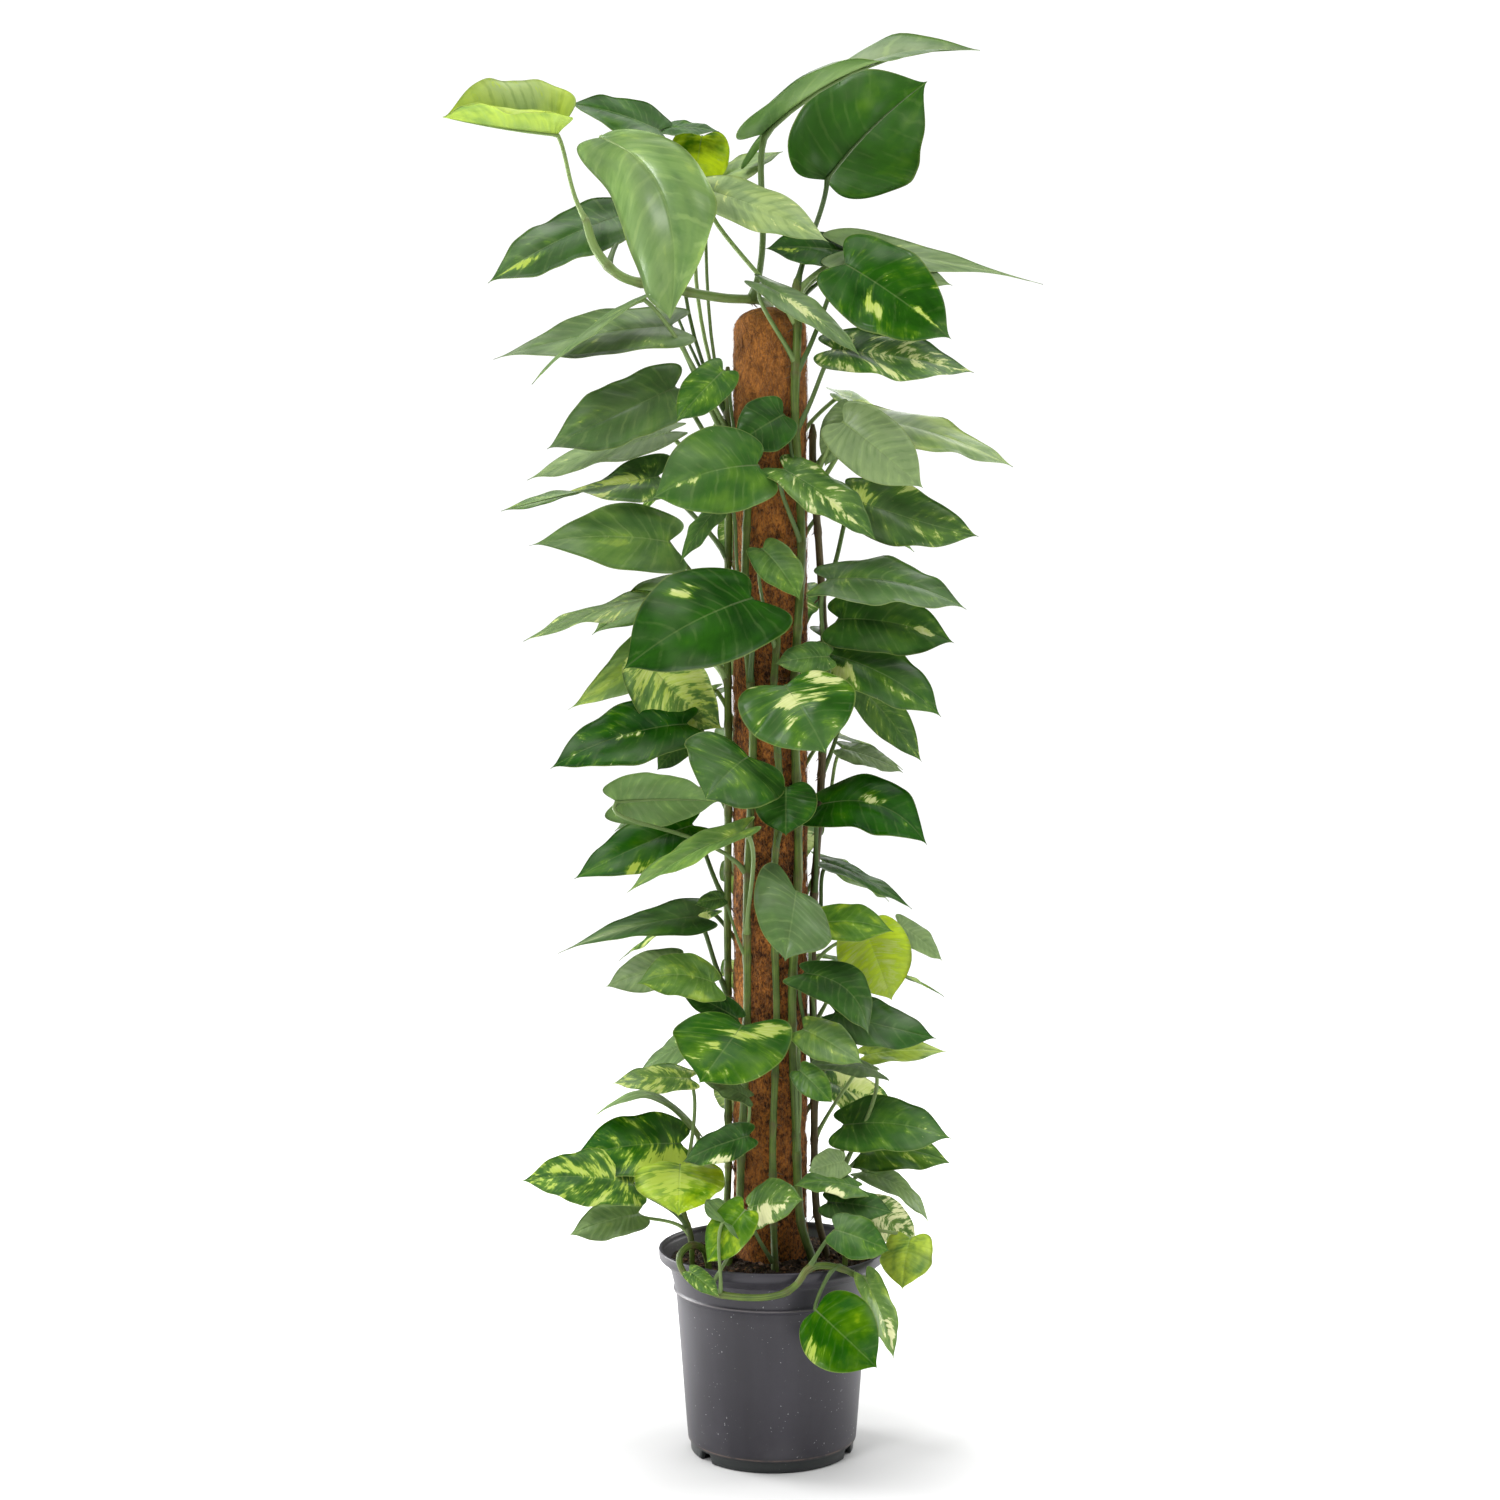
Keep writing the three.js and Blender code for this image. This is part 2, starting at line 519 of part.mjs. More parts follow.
    path: free([
      [-66, -54, 200], [-72, -60, 224], [-86, -76, 231], [-96, -86, 222], [-92, -90, 208], [-80, -99, 200],
      [-58, -113, 192], [-12, -126, 191], [12, -126, 196], [25, -126, 206], [33, -122, 217], [42, -116, 220],
      [56, -110, 219], [72, -104, 214], [84, -96, 206], [96, -88, 198],
    ]),
    leaves: [
      ["F14", 0.42, [-88, 194, -104], [-56, 166, -124], 22, 20, 0.1, 0.06, 0],
      ["F12", 0.5, [-52, 246, -128], [-34, 258, -80], 60, 20, 0.1, 0.06, 0],
      ["F13", 0.46, [-30, 258, -128], [-70, 202, -118], 46, 18, 0.12, 0.06, 0],
      ["R31", 0.79, [68, 238, -112], [126, 215, -112], 50, 30, 0.1, 0.05, 0],
      ["H1", 0.9, [47, 152, -128], [113, 90, -136], 80, 2, 0.1, 0.06, 0, 0, 0, 0, 0.08],
      ["H2", 0.985, [100, 186, -98], [130, 100, -112], 46, 50, 0.3, 0.05, 0],
    ],
  },
];

// The point of a stem's curve that is nearest to a height or, for a node below 1, at that share of its length.
function stemPoint(curve, node) {
  if (node < 1) return curve.getPointAt(node);
  const samples = curve.getSpacedPoints(STEM_SAMPLES);
  const wanted = node - RULE_START;
  return samples.reduce((best, p) => (Math.abs(p.z - wanted) < Math.abs(best.z - wanted) ? p : best));
}

// Half a blade's outline, from the notch (s = 0) round the lobe to the tip (s = 1), as shares of the length and
// of half the width. Width follows sin(pi s^0.7)^0.7, the way along is s less the leaf's lobe depth times a term
// that swells at the lobe's place and fades, and each point of the outline is tied to the midrib at s^1.6.
const OUTLINE = BLADE_STATIONS.map((s) => {
  const end = s === 0 || s === 1;
  const reach = end ? 0 : Math.sin(Math.PI * s ** 0.7) ** 0.7;
  const swell = end ? 0 : (s / LOBE_PLACE) ** 0.6 * Math.exp(0.6 * (1 - s / LOBE_PLACE));
  return { s, reach, swell, rib: s ** 1.6 };
});

// Directions of a blade: along its midrib and, for a share of its length, up from its upper face and across.
function bladeFrame({ base, tip, turn, twist = 0, watched = EYE }) {
  const along = tip.clone().sub(base).normalize();
  const toEye = watched.clone().sub(base).normalize();
  const facing = toEye.addScaledVector(along, -toEye.dot(along)).normalize();
  const skyward = along.clone().cross(facing);
  if (skyward.z < 0) skyward.negate();
  const upAt = (a) => {
    const angle = ((turn + twist * (a - 0.5)) * Math.PI) / 180;
    return facing.clone().multiplyScalar(Math.cos(angle)).addScaledVector(skyward, Math.sin(angle));
  };
  return { along, upAt, acrossAt: (a) => upAt(a).cross(along) };
}

// A leaf in one closed surface: a thin blade whose halves rise from the midrib and bend over, with both faces
// split alike, and a three-sided stalk whose last ring is the blade's notch.
function leafSolid(curve, leaf) {
  const { node, base, tip, width, fold, arch, bow, taper = 0, skew = 0, lobe = LOBE_DEPTH } = leaf;
  const { along, upAt, acrossAt } = bladeFrame(leaf);
  const up = upAt(0);
  const length = base.distanceTo(tip);
  const half = width / 2;
  const radius = STALK_RADIUS + length * STALK_GROWTH;
  const points = [];
  const faces = [];
  const add = (point) => points.push(point) - 1;
  const at = (station, b, drop) => {
    const share = Math.abs(b) / half;
    const a = station + (skew * (1 - station) * b) / half;
    const bend = 4 * a * (1 - a) * length;
    const rise = half * fold * (share - 0.5 * share * share) - drop;
    return base
      .clone()
      .addScaledVector(along, a * length)
      .addScaledVector(acrossAt(0.5), bow * bend)
      .addScaledVector(upAt(0.5), arch * bend)
      .addScaledVector(acrossAt(a), b)
      .addScaledVector(upAt(a), rise);
  };
  const stations = [0, BLADE_THICKNESS].map((drop) =>
    OUTLINE.map(({ s, reach, swell, rib }) => {
      const middle = add(at(rib, 0, drop));
      if (reach === 0) return [middle, middle, middle];
      const a = s - lobe * swell;
      const b = reach * (1 - s) ** taper * half;
      return [middle, add(at(a, -b, drop)), add(at(a, b, drop))];
    }),
  );
  const [upper, lower] = stations;
  points[lower[1][0]] = at(OUTLINE[1].rib + (STALK_LEAD * radius) / length, 0, BLADE_THICKNESS);

  // The stalk's rings lie round its curve, each square to the mean of its neighbours' ways. The one at the notch
  // halves the bend from stalk to blade, and the others are carried back from it without twist.
  const notch = base.clone().addScaledVector(up, -radius);
  const root = stemPoint(curve, node);
  const span = notch.distanceTo(root);
  const away = notch.clone().sub(root).setZ(0).normalize();
  const leaving = root.clone().addScaledVector(away, STALK_LEAVES.out * span);
  leaving.z += STALK_LEAVES.rise * span;
  const arriving = notch.clone().addScaledVector(along, -STALK_ARRIVES.along * span);
  arriving.addScaledVector(up, -STALK_ARRIVES.under * span);
  arriving.z -= STALK_ARRIVES.drop * span;
  const centres = new THREE.CubicBezierCurve3(root, leaving, arriving, notch).getPoints(STALK_STEPS);
  const ways = centres.slice(1).map((point, k) => point.clone().sub(centres[k]).normalize());
  const headings = centres.map((_, k) => {
    const before = ways[k - 1] ?? ways[0];
    const after = ways[k] ?? along;
    return before.clone().add(after).normalize();
  });
  let heading = headings[STALK_STEPS];
  const normal = heading.clone().cross(acrossAt(0)).normalize();
  centres[STALK_STEPS] = base.clone().addScaledVector(normal, -radius);
  const ring = (centre) => {
    const side = normal.clone().cross(heading);
    const low = centre.clone().addScaledVector(normal, -radius / 2);
    return [
      centre.clone().addScaledVector(normal, radius),
      low.clone().addScaledVector(side, 0.87 * radius),
      low.clone().addScaledVector(side, -0.87 * radius),
    ];
  };
  let near = [upper[0][0], ...ring(centres[STALK_STEPS]).slice(1).map(add)];
  const [, notchRight, notchLeft] = near;
  for (let k = STALK_STEPS - 1; k >= 0; k -= 1) {
    normal.applyQuaternion(new THREE.Quaternion().setFromUnitVectors(heading, headings[k]));
    heading = headings[k];
    const far = ring(centres[k]).map(add);
    for (let i = 0; i < 3; i += 1) {
      const j = (i + 1) % 3;
      faces.push([near[i], near[j], far[j]], [near[i], far[j], far[i]]);
    }
    near = far;
  }
  faces.push(near);

  // Blade faces, column 1 on one side of the midrib and column 2 on the other, and the thin rim between them.
  for (let k = 0; k + 1 < upper.length; k += 1) {
    const [u, v] = [upper[k], upper[k + 1]];
    const [l, m] = [[...lower[k]], lower[k + 1]];
    if (k === 0) l.splice(1, 2, notchLeft, notchRight);
    faces.push([u[0], u[1], v[1]], [u[0], v[1], v[0]], [u[2], u[0], v[0]], [u[2], v[0], v[2]]);
    faces.push([v[1], u[1], l[1]], [v[1], l[1], m[1]], [u[2], v[2], m[2]], [u[2], m[2], l[2]]);
    if (k === 0) {
      faces.push([l[1], m[0], m[1]], [l[2], m[2], m[0]], [l[2], m[0], l[1]]);
    } else {
      faces.push([l[0], m[1], l[1]], [l[0], m[0], m[1]], [l[2], m[0], l[0]], [l[2], m[2], m[0]]);
    }
  }
  const whole = faces.filter(([p, q, r]) => p !== q && q !== r && p !== r);
  const geometry = new THREE.BufferGeometry();
  const places = points.flatMap((p) => p.toArray());
  geometry.setAttribute("position", new THREE.Float32BufferAttribute(places, 3));
  geometry.setIndex(whole.flat());
  return solidOf(geometry);
}

function leafOf([, node, baseSeen, tipSeen, width, turn, fold, arch, bow, taper, skew, twist, lobe]) {
  const [base, tip] = [seen(...baseSeen), seen(...tipSeen)];
  return { node, base, tip, width, turn, fold, arch, bow, taper, skew, twist, lobe };
}

function vineParts(vine) {
  const foot = vine.path[0].clone();
  foot.z -= STEM_ROOT_DEPTH;
  const curve = new THREE.CatmullRomCurve3([foot, ...vine.path], false, "centripetal");
  const steps = Math.round(curve.getLength() / (vine.step ?? STEM_STEP));
  const stem = bar(curve, vine.radius, STEM_SIDES, steps);
  const leaves = vine.leaves.map((row) => (Array.isArray(row) ? leafOf(row) : row));
  const solid = joined([stem, ...leaves.map((leaf) => leafSolid(curve, leaf))]);
  const hole = solidOf(
    new THREE.CylinderGeometry(vine.radius + HOLE_CLEAR, vine.radius + HOLE_CLEAR, HOLE_LENGTH, HOLE_SIDES)
      .rotateX(Math.PI / 2)
      .translate(foot.x, foot.y, foot.z + HOLE_LENGTH / 2 - HOLE_BELOW),
  );
  return { mesh: meshOf(vine.name, solid, vine.colour, 0.4), hole };
}

const plant = new THREE.Group();
plant.name = "potted_golden_pothos";
const vines = VINES.map(vineParts);
const poleHole = solidOf(
  new THREE.CylinderGeometry(POLE_RADIUS + GAP, POLE_RADIUS + GAP, POT_RIM_TOP * 2, POLE_SIDES)
    .rotateX(Math.PI / 2)
    .translate(POLE_X, 0, POLE_FOOT - GAP + POT_RIM_TOP),
);
const soil = soilSolid().subtract(joined([poleHole, ...vines.map((vine) => vine.hole)]));
plant.add(meshOf("pot", potSolid(), 0x46454a, 0.55));
plant.add(meshOf("soil", soil, 0x2a1e16, 0.95));
plant.add(meshOf("pole_core", coreSolid(), 0x3a3a3a, 0.5));
plant.add(meshOf("pole_coir", coirSolid(), 0x7a4a26, 0.95));
plant.add(...vines.map((vine) => vine.mesh));

export default plant;
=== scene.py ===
# A golden pothos climbing a coir pole in a round nursery pot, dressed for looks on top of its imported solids.
import bpy
import numpy as np
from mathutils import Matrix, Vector


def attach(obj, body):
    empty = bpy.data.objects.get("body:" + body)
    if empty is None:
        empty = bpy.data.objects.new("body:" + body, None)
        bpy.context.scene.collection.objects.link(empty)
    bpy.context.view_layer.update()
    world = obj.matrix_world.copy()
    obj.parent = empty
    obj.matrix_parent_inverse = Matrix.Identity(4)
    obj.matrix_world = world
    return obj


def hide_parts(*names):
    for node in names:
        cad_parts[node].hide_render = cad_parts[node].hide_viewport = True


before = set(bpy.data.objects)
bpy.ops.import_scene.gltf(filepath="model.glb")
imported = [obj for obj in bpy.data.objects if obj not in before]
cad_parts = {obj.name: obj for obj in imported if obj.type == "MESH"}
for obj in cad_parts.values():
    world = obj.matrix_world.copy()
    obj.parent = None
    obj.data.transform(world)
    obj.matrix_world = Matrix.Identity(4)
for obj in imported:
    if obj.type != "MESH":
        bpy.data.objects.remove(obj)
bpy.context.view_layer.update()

# The pot: a 24 cm nursery pot, injection moulded from recycled dark grey plastic, with a plain wall, a collar
# under a flared lip and a foot ring cut by three drain slots. The wall is satin, dusty and lightly scuffed.
MM = 0.001
POT_SIDES = 192
SLOT_COUNT, SLOT_FIRST, SLOT_WIDTH, SLOT_HEIGHT = 3, 0.8, 0.0165, 0.0095
SLOT_INNER, SLOT_OUTER = 0.0745, 0.0885
COLLAR_HEIGHT, FOOT_HEIGHT = 0.1705, 0.0135
POT_PROFILE = MM * np.array([
    (0, 0), (55, 0), (57, 4), (80, 4), (82, 0.2), (85, 0), (86.2, 0.8), (87.2, 10), (88.2, 11.5), (89.3, 12.3),
    (90.5, 24), (100, 140), (102.2, 166), (103.6, 167.6), (104.9, 169), (105.2, 170), (104.9, 171.2),
    (104.1, 172.2), (104.6, 176), (108, 190), (109.2, 193.8), (111.8, 195.6), (117.8, 201.2), (119.6, 202.4),
    (120.4, 204), (120.8, 211), (120.5, 212.4), (119.6, 213), (118, 213), (117.2, 212.4), (117, 206),
    (116, 204.5), (107.4, 195), (106.6, 192), (100.8, 170), (87.8, 14), (84.2, 12), (83.5, 7.2), (58, 7), (55, 3),
    (0, 3),
])


def spaced(points, steps):
    """A polyline with each leg split in equal steps: the start plus a share of the leg."""
    points = np.asarray(points, float)
    share = np.arange(steps) / steps
    legs = points[:-1, None] + share[None, :, None] * np.diff(points, axis=0)[:, None]
    return np.vstack([legs.reshape(-1, points.shape[1]), points[-1:]])


def quads(rows, columns, closed=True):
    """Faces of a grid of points in row order: each joins a point with its neighbours below and to the right."""
    i = np.arange(rows - 1)[:, None]
    j = np.arange(columns if closed else columns - 1)[None, :]
    right = (j + 1) % columns
    corners = [i * columns + j, (i + 1) * columns + j, (i + 1) * columns + right, i * columns + right]
    return np.stack(np.broadcast_arrays(*corners), -1).reshape(-1, 4)


def piece(name, points, faces, material, uv=None, marks=None, smooth=True):
    """A mesh object at the origin from arrays of points and faces, with a UV map and named point values."""
    mesh = bpy.data.meshes.new(name)
    points = np.asarray(points, float).reshape(-1, 3)
    faces = np.asarray(faces)
    size = faces.shape[1]
    mesh.vertices.add(len(points))
    mesh.vertices.foreach_set("co", points.ravel())
    mesh.loops.add(faces.size)
    mesh.loops.foreach_set("vertex_index", faces.ravel())
    mesh.polygons.add(len(faces))
    mesh.polygons.foreach_set("loop_start", np.arange(len(faces)) * size)
    mesh.update(calc_edges=True)
    mesh.polygons.foreach_set("use_smooth", np.full(len(faces), smooth))
    for mark, values in (marks or {}).items():
        values = np.asarray(values, np.float32)
        kind, key = ("FLOAT", "value") if values.ndim == 1 else ("FLOAT_VECTOR", "vector")
        mesh.attributes.new(mark, kind, "POINT").data.foreach_set(key, values.ravel())
    if uv is not None:
        layer = mesh.uv_layers.new(name="UVMap")
        layer.data.foreach_set("uv", np.asarray(uv, np.float32)[faces.ravel()].ravel())
    mesh.materials.append(material)
    mesh.validate()
    made = bpy.data.objects.new(name, mesh)
    bpy.context.scene.collection.objects.link(made)
    return made


class Wire:
    """One output of a material's nodes. Sums, differences and products of wires add Math nodes."""

    def __init__(self, tree, socket):
        self.tree, self.socket = tree, socket

    def node(self, kind, values=None, out=0, stops=None, **settings):
        """Adds a node, sets it, feeds its sockets by name or number, and gives one of its outputs."""
        made = self.tree.nodes.new("ShaderNode" + kind)
        for key, value in settings.items():
            setattr(made, key, value)
        if stops:
            ramp = made.color_ramp.elements
            while len(ramp) < len(stops):
                ramp.new(0.5)
            for element, (position, colour) in zip(ramp, stops):
                element.position, element.color = position, (*colour, 1)
        for key, value in (values or {}).items():
            if isinstance(value, Wire):
                self.tree.links.new(value.socket, made.inputs[key])
            else:
                made.inputs[key].default_value = value
        return Wire(self.tree, made.outputs[out])

    def maths(self, operation, *others):
        """A Math node with this wire first."""
        return self.node("Math", dict(enumerate((self, *others))), operation=operation)

    def __add__(self, other):
        return self.maths("ADD", other)

    def __sub__(self, other):
        return self.maths("SUBTRACT", other)

    def __rsub__(self, other):
        return self.node("Math", {0: other, 1: self}, operation="SUBTRACT")

    def __mul__(self, other):
        return self.maths("MULTIPLY", other)

    __radd__, __rmul__ = __add__, __mul__

    def parts(self):
        """The three numbers of a vector."""
        made = self.node("SeparateXYZ", {0: self}).socket.node
        return [Wire(self.tree, number) for number in made.outputs]

    def mark(self, name, out=2):
        """A named point value of the mesh, or with out=1 a vector of three."""
        return self.node("Attribute", out=out, attribute_name=name)

    def step(self, low, high):
        """0 below low, 1 above high and smooth between them."""
        values = {"Value": self, "From Min": low, "From Max": high}
        return self.node("MapRange", values, interpolation_type="SMOOTHSTEP")

    def noise(self, scale, detail=3.0, roughness=0.55):
        """Soft noise between 0 and 1 at this place."""
        return self.node("TexNoise", {"Vector": self, "Scale": scale, "Detail": detail, "Roughness": roughness})

    def stretched(self, *factors):
        """A vector with each of its parts multiplied."""
        return self.node("VectorMath", {0: self, 1: factors}, operation="MULTIPLY")

    def mix(self, low, high):
        """The colour between two colours, by this wire."""
        ends = [end if isinstance(end, Wire) else (*end, 1) for end in (low, high)]
        return self.node("Mix", {0: self, 6: ends[0], 7: ends[1]}, out=2, data_type="RGBA")

    def bump(self, distance, strength=1.0):
        """The normal of a surface that this wire raises."""
        return self.node("Bump", {"Height": self, "Distance": distance, "Strength": strength})


def new_finish(name, **constants):
    """A new material: the wire of its Object coordinates, its Principled shader and the material."""
    material = bpy.data.materials.new(name)
    material.use_nodes = True
    shader = material.node_tree.nodes["Principled BSDF"]
    for key, value in constants.items():
        shader.inputs[key.replace("_", " ")].default_value = value
    coords = material.node_tree.nodes.new("ShaderNodeTexCoord")
    return Wire(material.node_tree, coords.outputs["Object"]), shader, material


def feed(shader, **wires):
    """Links wires to a shader's sockets."""
    for key, wire in wires.items():
        wire.tree.links.new(wire.socket, shader.inputs[key.replace("_", " ")])


def pot_grid():
    """Radius and height follow the profile and turn round the axis; the foot rises where a drain slot is cut."""
    profile = spaced(POT_PROFILE, 2)
    radius, z = profile[:, :1], profile[:, 1:]
    turn = 2 * np.pi * np.arange(POT_SIDES) / POT_SIDES
    off = (turn / (2 * np.pi) * SLOT_COUNT - SLOT_FIRST + 0.5) % 1 - 0.5
    aside = np.abs(off) * 2 * np.pi / SLOT_COUNT * radius
    cut = (aside < SLOT_WIDTH / 2) & (radius > SLOT_INNER) & (radius < SLOT_OUTER)
    z = np.where(cut, np.maximum(z, SLOT_HEIGHT), z)
    return np.stack([radius * np.cos(turn), radius * np.sin(turn), z], -1)


place, shader, pot_plastic = new_finish("pot_plastic", Specular_IOR_Level=0.5)
cloud = place.noise(9, 4)
grain = place.noise(900, 2)
drag = place.stretched(1, 1, 0.10).noise(22, 3)
scratch = place.stretched(1, 1, 0.25).noise(160, 5, 0.7).step(0.68, 0.78)
fleck = place.noise(330, 2, 0.5).step(0.705, 0.75) * place.noise(24, 2).step(0.42, 0.6)
height = place.parts()[2]
dust = height.step(0.05, 0.0) * place.noise(40, 4).step(0.35, 0.7)
# A lighter line round the collar ridge, within about a millimetre of the collar's height.
collar_line = (height - COLLAR_HEIGHT).maths("ABSOLUTE").step(0.0012, 0.0002)
seam = (height - FOOT_HEIGHT).maths("ABSOLUTE").step(0.0011, 0.0003) * place.noise(70, 3).step(0.35, 0.6)
base = (cloud * 0.45 + drag * 0.45 + grain * 0.1).step(0.32, 0.66).mix((0.011, 0.009, 0.015), (0.029, 0.026, 0.036))
base = (fleck * 0.8 + scratch * 0.10).mix(base, (0.36, 0.36, 0.37))
base = (collar_line * 0.45).mix(base, (0.24, 0.22, 0.22))
base = (dust * 0.12).mix(base, (0.16, 0.15, 0.145))
# Painted shade on the inset foot ring: darker and greenish below the foot's top.
base = (height.step(FOOT_HEIGHT, 0.0110) * 0.8).mix(base, (0.012, 0.017, 0.015))
base = (seam * 0.7).mix(base, (0.16, 0.11, 0.085))
rough = cloud * 0.16 + scratch * 0.1 + 0.36
bump = (grain * 0.5 + cloud).bump(0.0003, 0.35)
feed(shader, Base_Color=base, Roughness=rough, Normal=bump)
grid = pot_grid()
pot = piece("pot_shell", grid, quads(len(grid), POT_SIDES)[:, ::-1], pot_plastic)
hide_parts("pot")
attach(pot, "root")

# The potting mix: dark peat with bark and fibre, pressed round the pole and mounded towards it. It is a poured
# bed whose top is crumbs of a few millimetres, with chips of bark lying loose on it.
SOIL_EDGE, SOIL_MIDDLE, SOIL_FLOOR = 0.199, 0.2075, 0.0105
SOIL_RADIUS, SOIL_HOLE = 0.1095, 0.0405
CHIP_INNER, CHIP_OUTER = 0.0445, SOIL_RADIUS - 0.006
POLE_X, POLE_RADIUS = -0.002, 0.040
SOIL_SEED = 21


def lumps(points, size, seed):
    """Smooth noise between -1 and 1: sums of sines along seeded directions in three octaves, each half as large."""
    draw = np.random.default_rng(seed)
    total = np.zeros(points.shape[:-1])
    for octave in range(3):
        for _ in range(5):
            way = draw.normal(size=points.shape[-1])
            way *= 2 * np.pi * 2**octave / (size * np.linalg.norm(way))
            bent = points @ way + 1.7 * np.sin(points @ (way[::-1] * 0.61) + 6.3 * draw.random())
            total += np.sin(bent + 6.3 * draw.random()) * 0.5**octave / 5
    return total


def soil_height(x, y):
    """Highest round the pole and lower towards the wall, with lumps of 30 mm and crumbs of 6 mm on it."""
    out = np.hypot(x - POLE_X, y) / SOIL_RADIUS
    flat = np.stack([x, y], -1)
    crumbs = 0.0022 * lumps(flat, 0.030, SOIL_SEED) + 0.0018 * lumps(flat, 0.006, SOIL_SEED + 1)
    return SOIL_EDGE + (SOIL_MIDDLE - SOIL_EDGE) * np.clip(1 - out, 0, 1) * 1.3 + crumbs - 0.0012


def soil_bed(rings=100, sides=236):
    """Rings that close on themselves: out over the floor, up inside the wall, in over the top, down at the pole."""
    turn = 2 * np.pi * np.arange(sides) / sides
    side = spaced([(0.083, SOIL_FLOOR), (0.0995, 0.165), (0.1062, 0.193)], 6)
    radius = np.linspace(SOIL_RADIUS, SOIL_HOLE, rings)[:, None]
    share = np.linspace(0, 1, rings)[:, None] ** 0.5
    x = radius * np.cos(turn) + POLE_X * share
    y = radius * np.sin(turn)
    top = np.stack([x, y, soil_height(x, y)], -1)
    top[0, :, 2] -= 0.002
    low = np.stack([side[:, :1] * np.cos(turn), side[:, :1] * np.sin(turn), side[:, 1:] + 0 * turn], -1)
    down = top[-1:] * [1, 1, 0] + [0, 0, SOIL_FLOOR]
    return np.concatenate([down, low, top, down])


def chips(count, low, high, flatness, seed):
    """Small blocks with knocked corners, five round the middle and one at each end, turned at random and sunk."""
    draw = np.random.default_rng(seed)
    turn, out = 2 * np.pi * draw.random(count), np.sqrt(draw.uniform(CHIP_INNER**2, CHIP_OUTER**2, count))
    x, y = out * np.cos(turn), out * np.sin(turn)
    size = draw.uniform(low, high, (count, 1, 1)) * np.array([1, 0.7, flatness])
    ring = np.array([[1, 0, 0], [0.3, 1, 0], [-0.8, 0.6, 0], [-0.9, -0.5, 0], [0.2, -1, 0], [0, 0, 1], [0, 0.1, -1]])
    block = (ring + 0.25 * draw.normal(size=(count, 7, 3))) * size
    spin, tip = 2 * np.pi * draw.random(count), draw.normal(0, 0.5, count)
    c, s, ct, st = np.cos(spin)[:, None], np.sin(spin)[:, None], np.cos(tip)[:, None], np.sin(tip)[:, None]
    bx, by, bz = block[..., 0], block[..., 1] * ct - block[..., 2] * st, block[..., 1] * st + block[..., 2] * ct
    z = soil_height(x, y)[:, None] + 0.25 * size[:, :, 2]
    points = np.stack([bx * c - by * s + x[:, None], bx * s + by * c + y[:, None], bz + z], -1)
    side, after = np.arange(5), (np.arange(5) + 1) % 5
    cap = np.concatenate([np.stack([side, after, side * 0 + 5], -1), np.stack([after, side, side * 0 + 6], -1)])
    return points.reshape(-1, 3), (cap[None] + 7 * np.arange(count)[:, None, None]).reshape(-1, 3)


place, shader, potting_mix = new_finish("potting_mix", Specular_IOR_Level=0.3)
crumb = place.noise(260, 4, 0.65)
patch = place.noise(45, 3)
base = (crumb * 0.7 + patch * 0.3).step(0.3, 0.72).mix((0.008, 0.005, 0.0035), (0.060, 0.036, 0.022))
base = place.noise(420, 2).step(0.66, 0.72).mix(base, (0.17, 0.095, 0.045))
feed(shader, Base_Color=base, Roughness=crumb * 0.2 + 0.72, Normal=crumb.bump(0.0015, 0.9))
bed = soil_bed()
soil = piece("soil_bed", bed, quads(*bed.shape[:2]), potting_mix)
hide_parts("soil")
place, shader, bark = new_finish("bark_chips", Specular_IOR_Level=0.3)
fibre = place.stretched(1, 0.3, 1).noise(700, 3)
base = place.noise(90, 2).step(0.35, 0.65).mix((0.020, 0.010, 0.006), (0.150, 0.075, 0.035))
feed(shader, Base_Color=base, Roughness=fibre * 0.2 + 0.7, Normal=fibre.bump(0.0006))
mulch = chips(count=620, low=0.0016, high=0.0048, flatness=0.5, seed=31)
mulch = piece("soil_chips", *mulch, bark, smooth=False)
grit = chips(count=2600, low=0.0008, high=0.0022, flatness=0.9, seed=32)
grit = piece("soil_crumbs", *grit, potting_mix, smooth=False)
for made in (soil, mulch, grit):
    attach(made, "root")

# The pole's core: a plain extruded plastic tube that the coir is wound on. It stands in the soil and is covered
# over its whole length, so its solid stays as it is.
place, shader, tube_plastic = new_finish("tube_plastic", Roughness=0.5)
feed(shader, Base_Color=place.noise(60).step(0.3, 0.7).mix((0.03, 0.03, 0.032), (0.05, 0.05, 0.052)))
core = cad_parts["pole_core"]
core.data.materials.clear()
core.data.materials.append(tube_plastic)

# The coir sleeve: coconut fibre felted with latex and rolled round the core, 8 cm thick and matted, with a domed
# top. Its skin is lumpy, with pits and darker bands where it was bound, and loose fibres stand off it.
COIR_FOOT, COIR_SHOULDER, COIR_TOP = 0.190, 1.192, 1.214
COIR_LENGTH, DOME_START = 1.04, 0.965
COIR_ROWS, COIR_SIDES = 520, 132
HAIR_RINGS, HAIR_SIDES = 5, 3
COIR_SEED = 5


